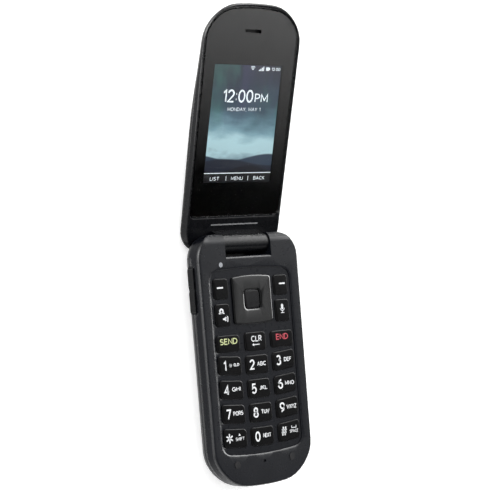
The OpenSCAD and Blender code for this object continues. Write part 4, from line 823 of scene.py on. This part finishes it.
# Signs of the number keys, then their X, Y and height
DIGITS = {**{f"key_{number}": str(number) for number in range(10)}, "key_hash": "#"}
DIGIT_X = -2.8
DIGIT_Y = 0.1
DIGIT_H = 4.3
# Letters beside a sign and their width, then their X, Y, height and weight
LETTERS = {"key_2": ("ABC", 5.0), "key_3": ("DEF", 4.2), "key_4": ("GHI", 4.7),
           "key_5": ("JKL", 4.4), "key_6": ("MNO", 5.1), "key_7": ("PQRS", 5.4),
           "key_8": ("TUV", 4.6), "key_9": ("WXYZ", 5.5), "key_0": ("NEXT", 4.4)}
LETTERS_X = 2.35
LETTERS_Y = 0.2
LETTER_H = 1.8
LETTER_WEIGHT = 0.2
# Words on keys, with X, Y, height and width
WORDS = {"key_star": ("SHIFT", 2.3, -0.4, 1.4, 4.8), "key_hash": ("SPACE", 2.7, -0.3, 1.3, 4.8),
         "key_send": ("SEND", 0.2, 1.0, 2.5, 9.4), "key_clear": ("CLR", 0.6, 1.1, 2.5, 5.8),
         "key_end": ("END", 0.2, 0.9, 2.5, 6.8)}

# Row of small signs on key_1: its Y, the middles and radii of the reels and the tape's width
ONE_Y = 0.2
REELS_X = (2.5, 4.3)
REEL_R = (0.3, 0.62)
TAPE_W = 0.26
# Star: middle, reach of its arms and half width of a stroke
STAR_X = -3.3
STAR_Y = 0.3
STAR_R = 1.9
STAR_HALF = 0.3
# Dash of a soft key: half length, foot, top and round corner
DASH_HALF = 1.7
DASH_Y = (0.2, 0.85)
DASH_CORNER = 0.3
# Sound waves beside the loudspeaker: middle, inner radii, width and half angle
WAVES_X = 1.1
WAVES_Y = -1.55
WAVES_R = (0.75, 1.35)
WAVE_W = 0.3
WAVE_ANGLE = 50


def one_icons(mesh):
    """At sign and a pair of tape reels on one tape."""
    words(mesh, "@", 0.2, ONE_Y, 1.9, weight=0.14)
    for x in REELS_X:
        band(mesh, x, ONE_Y, *REEL_R, steps=16)
    foot = ONE_Y - REEL_R[1]
    bar(mesh, REELS_X[0], foot, REELS_X[1], foot + TAPE_W)


def star_icons(mesh):
    """Six-armed star and an upward arrow."""
    for turn in (30, 90, 150):
        stroke(mesh, arc(STAR_X, STAR_Y, STAR_R, turn, turn + 180, 1), STAR_HALF)
    prism(mesh, [(1.5, 0.9), (2.7, 0.9), (2.1, 1.9)])


def hash_icons(mesh):
    """Open bracket of the space mark."""
    bar(mesh, 1.4, 0.9, 4.2, 1.2)
    bar(mesh, 1.4, 1.2, 1.7, 1.9)
    bar(mesh, 3.9, 1.2, 4.2, 1.9)


def clear_icon(mesh):
    """Arrow that points left."""
    bar(mesh, -1.0, -1.55, 2.2, -1.2)
    prism(mesh, [(-2.0, -1.375), (-0.9, -2.0), (-0.9, -0.75)])


def soft_mark(x):
    """Drawing of the dash of a soft key, whose middle is at x."""
    return lambda mesh: prism(mesh, rounded(x - DASH_HALF, x + DASH_HALF, *DASH_Y, DASH_CORNER))


def camera_mark(mesh):
    """Camera over a loudspeaker that sounds."""
    prism(mesh, rounded(-2.2, 0.8, 0.6, 1.1, 0.2))
    band(mesh, -0.7, 1.75, 0.45, 1.15)
    prism(mesh, [(-0.2, -1.9), (0.5, -1.9), (1.3, -2.6), (1.3, -0.5), (0.5, -1.2), (-0.2, -1.2)])
    for radius in WAVES_R:
        band(mesh, WAVES_X, WAVES_Y, radius, radius + WAVE_W, -WAVE_ANGLE, WAVE_ANGLE, 8)


def voice_mark(mesh):
    """Microphone in its holder, on a stand."""
    prism(mesh, rounded(-0.6, 0.6, 0.4, 2.7, 0.58))
    band(mesh, 0.0, 1.0, 0.95, 1.25, 180, 360, 12)
    bar(mesh, -0.15, -0.9, 0.15, -0.22)
    bar(mesh, -0.9, -1.15, 0.9, -0.9)


MARKS = {"key_1": one_icons, "key_star": star_icons, "key_hash": hash_icons,
         "key_clear": clear_icon, "soft_key_left": soft_mark(-0.5),
         "soft_key_right": soft_mark(0.9), "camera_key": camera_mark, "voice_key": voice_mark}


def key_top(node):
    """Matrix of a flat frame in millimetres in the middle of a key's top."""
    low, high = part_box(node)
    middle = Vector(((low.x + high.x) / 2, (low.y + high.y) / 2, high.z + PRINT_GAP * MM))
    return Matrix.Translation(middle) @ Matrix.Scale(MM, 4)


def add_legends(finishes):
    """Prints every key's legend."""
    colours = {
        "key_send": printed("finish_send_print", linear(198, 206, 150)),
        "key_end": printed("finish_end_print", linear(190, 58, 74)),
    }
    for node in sorted({*DIGITS, *WORDS, *MARKS}):
        mesh = bmesh.new()
        if node in DIGITS:
            words(mesh, DIGITS[node], DIGIT_X, DIGIT_Y, DIGIT_H)
        if node in LETTERS:
            line, width = LETTERS[node]
            words(mesh, line, LETTERS_X, LETTERS_Y, LETTER_H, width, LETTER_WEIGHT)
        if node in WORDS:
            words(mesh, *WORDS[node])
        if node in MARKS:
            MARKS[node](mesh)
        finish_piece(mesh, f"legend_{node}", key_top(node), node,
                     colours.get(node, finishes["legend_print"]))


# ---------- main display

PICTURE_W = 36.8
PICTURE_H = 49.0
PICTURE_CORNER = 0.2
# Depth of the picture's recess, and the gap under the picture and under its marks
PICTURE_RECESS = 0.15
PICTURE_GAP = 0.01


def add_picture():
    """Lit picture in the display's recess. Returns the Y of its middle and its top's height."""
    low, high = lid_box("display_module")
    middle = (low.y + high.y) / 2
    foot = high.z - PICTURE_RECESS + PICTURE_GAP
    mesh = bmesh.new()
    prism(mesh, centred(PICTURE_W, PICTURE_H, middle, PICTURE_CORNER))
    finish_piece(mesh, "main_picture", at_height(foot), "lid",
                 picture("finish_picture"))
    return middle, foot + PRINT_T


# Y over the picture's foot
LABEL_MID = 1.6
SOFT_BAR_H = 3.7
DATE_MID = 30.6
TIME_MID = 36.1
STATUS_MID = 47.6
# Words on the picture: X, Y over its foot, height, width and weight
SCREEN_WORDS = [("12:00", -3.9, TIME_MID, 5.4, 16.4, 0.13),
                ("PM", 8.9, TIME_MID - 0.7, 3.7, 7.2, 0.13),
                ("MONDAY, MAY 1", 0.0, DATE_MID, 1.5, 18.0, 0.12),
                ("LIST", -12.2, LABEL_MID, 1.5, 5.0, 0.14),
                ("MENU", 0.0, LABEL_MID, 1.5, 6.4, 0.14),
                ("BACK", 12.2, LABEL_MID, 1.5, 6.2, 0.14),
                ("12:00", 15.4, STATUS_MID, 1.3, 4.8, 0.15)]
# Line over the labels, and the two ticks between them: half width, foot and top
LABEL_LINE_T = 0.3
TICKS_X = (-6.0, 6.0)
TICK_HALF = 0.12
TICK_Y = (0.7, 2.6)
# Waves of the aerial: middle, inner radii, width, and angles at which they start and end
AERIAL_X = 2.6
AERIAL_Y = -0.8
AERIAL_R = (0.4, 1.0, 1.6)
AERIAL_W = 0.28
AERIAL_ANGLES = (50, 130)
# Rising bars of the signal: number, left and width of the first, its foot and top, and the
# step along and up from one to the next
SIGNAL_BARS = 4
SIGNAL_X = 6.0
SIGNAL_W = 0.5
SIGNAL_Y = (-0.9, -0.4)
SIGNAL_STEP = 0.75
SIGNAL_RISE = 0.45
# Battery: left, right, right of its tip, and half heights of both
BATTERY_X = (9.9, 11.7, 12.0)
BATTERY_HALF = 0.7
TIP_HALF = 0.3


def status_icons(mesh, y):
    """Waves of an aerial, bars of its signal and a battery, in a row at y."""
    for radius in AERIAL_R:
        band(mesh, AERIAL_X, y + AERIAL_Y, radius, radius + AERIAL_W, *AERIAL_ANGLES, 8)
    for i in range(SIGNAL_BARS):
        left = SIGNAL_X + SIGNAL_STEP * i
        bar(mesh, left, y + SIGNAL_Y[0], left + SIGNAL_W, y + SIGNAL_Y[1] + SIGNAL_RISE * i)
    left, right, tip = BATTERY_X
    bar(mesh, left, y - BATTERY_HALF, right, y + BATTERY_HALF)
    bar(mesh, right, y - TIP_HALF, tip, y + TIP_HALF)


def add_screen_marks(middle, top):
    """Clock, date, status icons and soft-key labels on the lit picture."""
    foot = middle - PICTURE_H / 2
    half = PICTURE_W / 2
    mesh = bmesh.new()
    for line, x, y, *size in SCREEN_WORDS:
        words(mesh, line, x, foot + y, *size)
    bar(mesh, -half, foot + SOFT_BAR_H, half, foot + SOFT_BAR_H + LABEL_LINE_T)
    for x in TICKS_X:
        bar(mesh, x - TICK_HALF, foot + TICK_Y[0], x + TICK_HALF, foot + TICK_Y[1])
    status_icons(mesh, foot + STATUS_MID)
    finish_piece(mesh, "screen_marks", at_height(top + PICTURE_GAP), "lid",
                 printed("finish_lit_marks", linear(226, 236, 240), SCREEN_GLOW))
    mesh = bmesh.new()
    bar(mesh, -half, foot, half, foot + SOFT_BAR_H)
    finish_piece(mesh, "soft_label_bar", at_height(top), "lid",
                 printed("finish_label_bar", linear(14, 15, 19), BAR_GLOW))


# ---------- lens print and painted hinge highlight

def convex_outline(points):
    """Points of the smallest convex outline round a set of points, counter-clockwise."""
    ordered = sorted(set(points))

    def turns_left(one, two, three):
        return ((two[0] - one[0]) * (three[1] - one[1])
                > (two[1] - one[1]) * (three[0] - one[0]))

    def half(run):
        chain = []
        for point in run:
            while len(chain) > 1 and not turns_left(chain[-2], chain[-1], point):
                chain.pop()
            chain.append(point)
        return chain[:-1]

    return half(ordered) + half(ordered[::-1])


def pierced(mesh, outline, holes, high):
    """Adds a sheet with holes through it, from height zero to a height."""
    loops = [[mesh.verts.new((x, y, 0.0)) for x, y in points] for points in (outline, *holes)]
    edges = [mesh.edges.new((loop[i], loop[(i + 1) % len(loop)]))
             for loop in loops for i in range(len(loop))]
    filled = bmesh.ops.triangle_fill(mesh, edges=edges, use_beauty=True)
    faces = [item for item in filled["geom"] if isinstance(item, bmesh.types.BMFace)]
    raised = bmesh.ops.extrude_face_region(mesh, geom=faces)
    for item in raised["geom"]:
        if isinstance(item, bmesh.types.BMVert):
            item.co.z = high


LENS_PRINT_T = 0.03
LENS_PRINT_GAP = 0.008
# Window over the picture: clear border round the picture, and round corner
BORDER = 0.3
WINDOW_CORNER = 0.3
# Slot over the earpiece
SLOT_W = 8.4
SLOT_H = 1.5
SLOT_CORNER = 0.7
# Decimals to which the lens's corners are taken
OUTLINE_DECIMALS = 4


def add_lens_print(finishes, middle):
    """Black print behind the clear lens, open over the picture and the earpiece."""
    lens_low, _ = lid_box("display_lens")
    ear_low, ear_high = lid_box("earpiece")
    outline = convex_outline([(round(point.x, OUTLINE_DECIMALS), round(point.y, OUTLINE_DECIMALS))
                              for point in lid_points("display_lens")])
    window = centred(PICTURE_W + 2 * BORDER, PICTURE_H + 2 * BORDER, middle, WINDOW_CORNER)
    slot = centred(SLOT_W, SLOT_H, (ear_low.y + ear_high.y) / 2, SLOT_CORNER)
    mesh = bmesh.new()
    pierced(mesh, outline, [window, slot], LENS_PRINT_T)
    finish_piece(mesh, "lens_print", at_height(lens_low.z - LENS_PRINT_GAP - LENS_PRINT_T),
                 "lid", finishes["lens_black"])


# Painted highlight: a light grey strip on the lid's chin that stands in for light on the bend over
# the hinge's barrel. Its Y, length, width, thickness and round corner
PAINTED_HIGHLIGHT_Y = 7.3
PAINTED_HIGHLIGHT_L = 25.8
PAINTED_HIGHLIGHT_W = 0.5
PAINTED_HIGHLIGHT_T = 0.05
PAINTED_HIGHLIGHT_CORNER = 0.2


def add_hinge_trim():
    """Thin light strip across the chin of the lid, over the hinge's barrel: a painted highlight of
    the bend there.
    """
    mesh = bmesh.new()
    prism(mesh, centred(PAINTED_HIGHLIGHT_L, PAINTED_HIGHLIGHT_W, PAINTED_HIGHLIGHT_Y, PAINTED_HIGHLIGHT_CORNER), PAINTED_HIGHLIGHT_T)
    # Light grey of the painted highlight
    finish_piece(mesh, "painted_hinge_highlight", at_height(FACE_W + PRINT_GAP), "lid",
                 printed("finish_painted_highlight", linear(134, 135, 137), roughness=0.35))


# ---------- stage and light

FLOOR_HALF = 3.0
FLOOR_COLOUR = (0.86, 0.86, 0.86, 1.0)
FLOOR_ROUGHNESS = 0.9
FLOOR_GLOW = 0.5
# Painted shade: how near the phone the floor's glow, as the phone mirrors it, darkens, and the
# rays that look for it
SHADE_REACH = 0.05
SHADE_SAMPLES = 4


def add_floor():
    """Pale floor that keeps the phone's shadow, with painted shade on its mirrored glow."""
    made, tree, shader = new_material("stage_floor")
    rays = add_node(tree, "ShaderNodeLightPath").outputs
    # Painted shade: ambient occlusion darkens the glow that glossy rays see near the phone
    outside_painted_shade = add_node(tree, "ShaderNodeAmbientOcclusion", {"Distance": SHADE_REACH},
                        samples=SHADE_SAMPLES)
    mirrored = product(tree, rays["Is Glossy Ray"], outside_painted_shade.outputs["AO"])
    seen = math_node(tree, "ADD", rays["Is Camera Ray"], mirrored)
    seen = math_node(tree, "ADD", seen, rays["Is Transmission Ray"], clamp=True)
    set_inputs(tree, shader, {
        "Base Color": FLOOR_COLOUR, "Roughness": FLOOR_ROUGHNESS, "Specular IOR Level": 0.0,
        "Emission Color": WHITE, "Emission Strength": product(tree, seen, FLOOR_GLOW)})
    half = FLOOR_HALF
    level = cad_box[0].z
    mesh = bpy.data.meshes.new("floor")
    mesh.from_pydata([(-half, -half, level), (half, -half, level), (half, half, level),
                      (-half, half, level)], [], [(0, 1, 2, 3)])
    mesh.materials.append(made)
    floor = add_object("floor", mesh)


# Level of the light all round, where no card takes it away
AMBIENT = 0.18
# Soft panels of light: direction, radius and softness in degrees, and added level
PANELS = [((0.87, 0.40, 0.20), 26.0, 3.0, 8.5), ((0.62, 0.36, 0.68), 14.0, 10.0, 1.8),
          ((-0.70, 0.36, 0.62), 22.0, 8.0, 4.0), ((-0.50, -0.80, 0.35), 26.0, 12.0, 0.9),
          ((0.25, -0.84, 0.48), 16.0, 10.0, 1.2), ((0.64, -0.58, 0.50), 6.0, 6.0, 1.0),
          ((-0.32, 0.56, 0.76), 12.0, 8.0, 2.0)]
# Card that takes the light away: direction, radius and softness in degrees
DARK_CARD = ((0.60, -0.62, 0.50), 28.0, 3.0)
# Long strip of light over the phone, along the Y of directions: the direction that it leans in,
# its half width and softness in degrees, where it rises and falls along Y, and its level
STRIP_LEAN = (0.66, 0.0, 0.75)
STRIP_HALF = 6.0
STRIP_SOFT = 3.5
STRIP_RISE = (-0.345, -0.16)
STRIP_FALL = (0.55, 0.85)
STRIP_LEVEL = 1.4


def smooth_rise(tree, value, start, end):
    """Zero up to start and one from end on, smoothly joined."""
    return remap(tree, value, 0.0, 1.0, start, end, interpolation_type="SMOOTHSTEP")


def patch(tree, place, direction, radius, softness):
    """One inside a round patch of the sky, zero outside, with a soft edge."""
    toward = Vector(direction).normalized()
    return smooth_rise(tree, dot_product(tree, place, toward),
                       math.cos(math.radians(radius + softness)),
                       math.cos(math.radians(radius - softness)))


def strip(tree, place):
    """Level of the long strip, which fades in slowly at its near end."""
    square = Vector((STRIP_LEAN[2], 0.0, -STRIP_LEAN[0])).normalized()
    width = smooth_rise(tree, alignment(tree, place, square),
                        math.sin(math.radians(STRIP_HALF + STRIP_SOFT)),
                        math.sin(math.radians(STRIP_HALF - STRIP_SOFT)))
    along = split(tree, place)[1]
    rise = remap(tree, along, 0, 1, *STRIP_RISE)
    fall = remap(tree, along, 1, 0, *STRIP_FALL)
    return product(tree, rise, fall, width, STRIP_LEVEL)


def add_world():
    """Soft studio light from all round, with brighter panels, a long strip and a dark card."""
    world = bpy.data.worlds.new("studio")
    bpy.context.scene.world = world
    world.use_nodes = True
    tree = world.node_tree
    tree.nodes.clear()
    place = coordinate(tree, "Generated")
    card = patch(tree, place, *DARK_CARD)
    level = product(tree, math_node(tree, "SUBTRACT", 1.0, card), AMBIENT)
    level = math_node(tree, "ADD", level, strip(tree, place))
    for *where, strength in PANELS:
        lit = product(tree, patch(tree, place, *where), strength)
        level = math_node(tree, "ADD", level, lit)
    seen = add_node(tree, "ShaderNodeLightPath").outputs["Is Camera Ray"]
    level = math_node(tree, "MAXIMUM", level, seen)
    back = add_node(tree, "ShaderNodeBackground", {"Color": WHITE, "Strength": level})
    add_node(tree, "ShaderNodeOutputWorld", {"Surface": back.outputs[0]})


# ---------- assembly

bpy.context.scene.view_settings.view_transform = "Standard"
add_camera()
add_floor()
add_world()
FINISHES = make_finishes()
dress_frame(FINISHES)
add_legends(FINISHES)
PICTURE_MIDDLE, PICTURE_TOP = add_picture()
add_screen_marks(PICTURE_MIDDLE, PICTURE_TOP)
add_lens_print(FINISHES, PICTURE_MIDDLE)
add_hinge_trim()
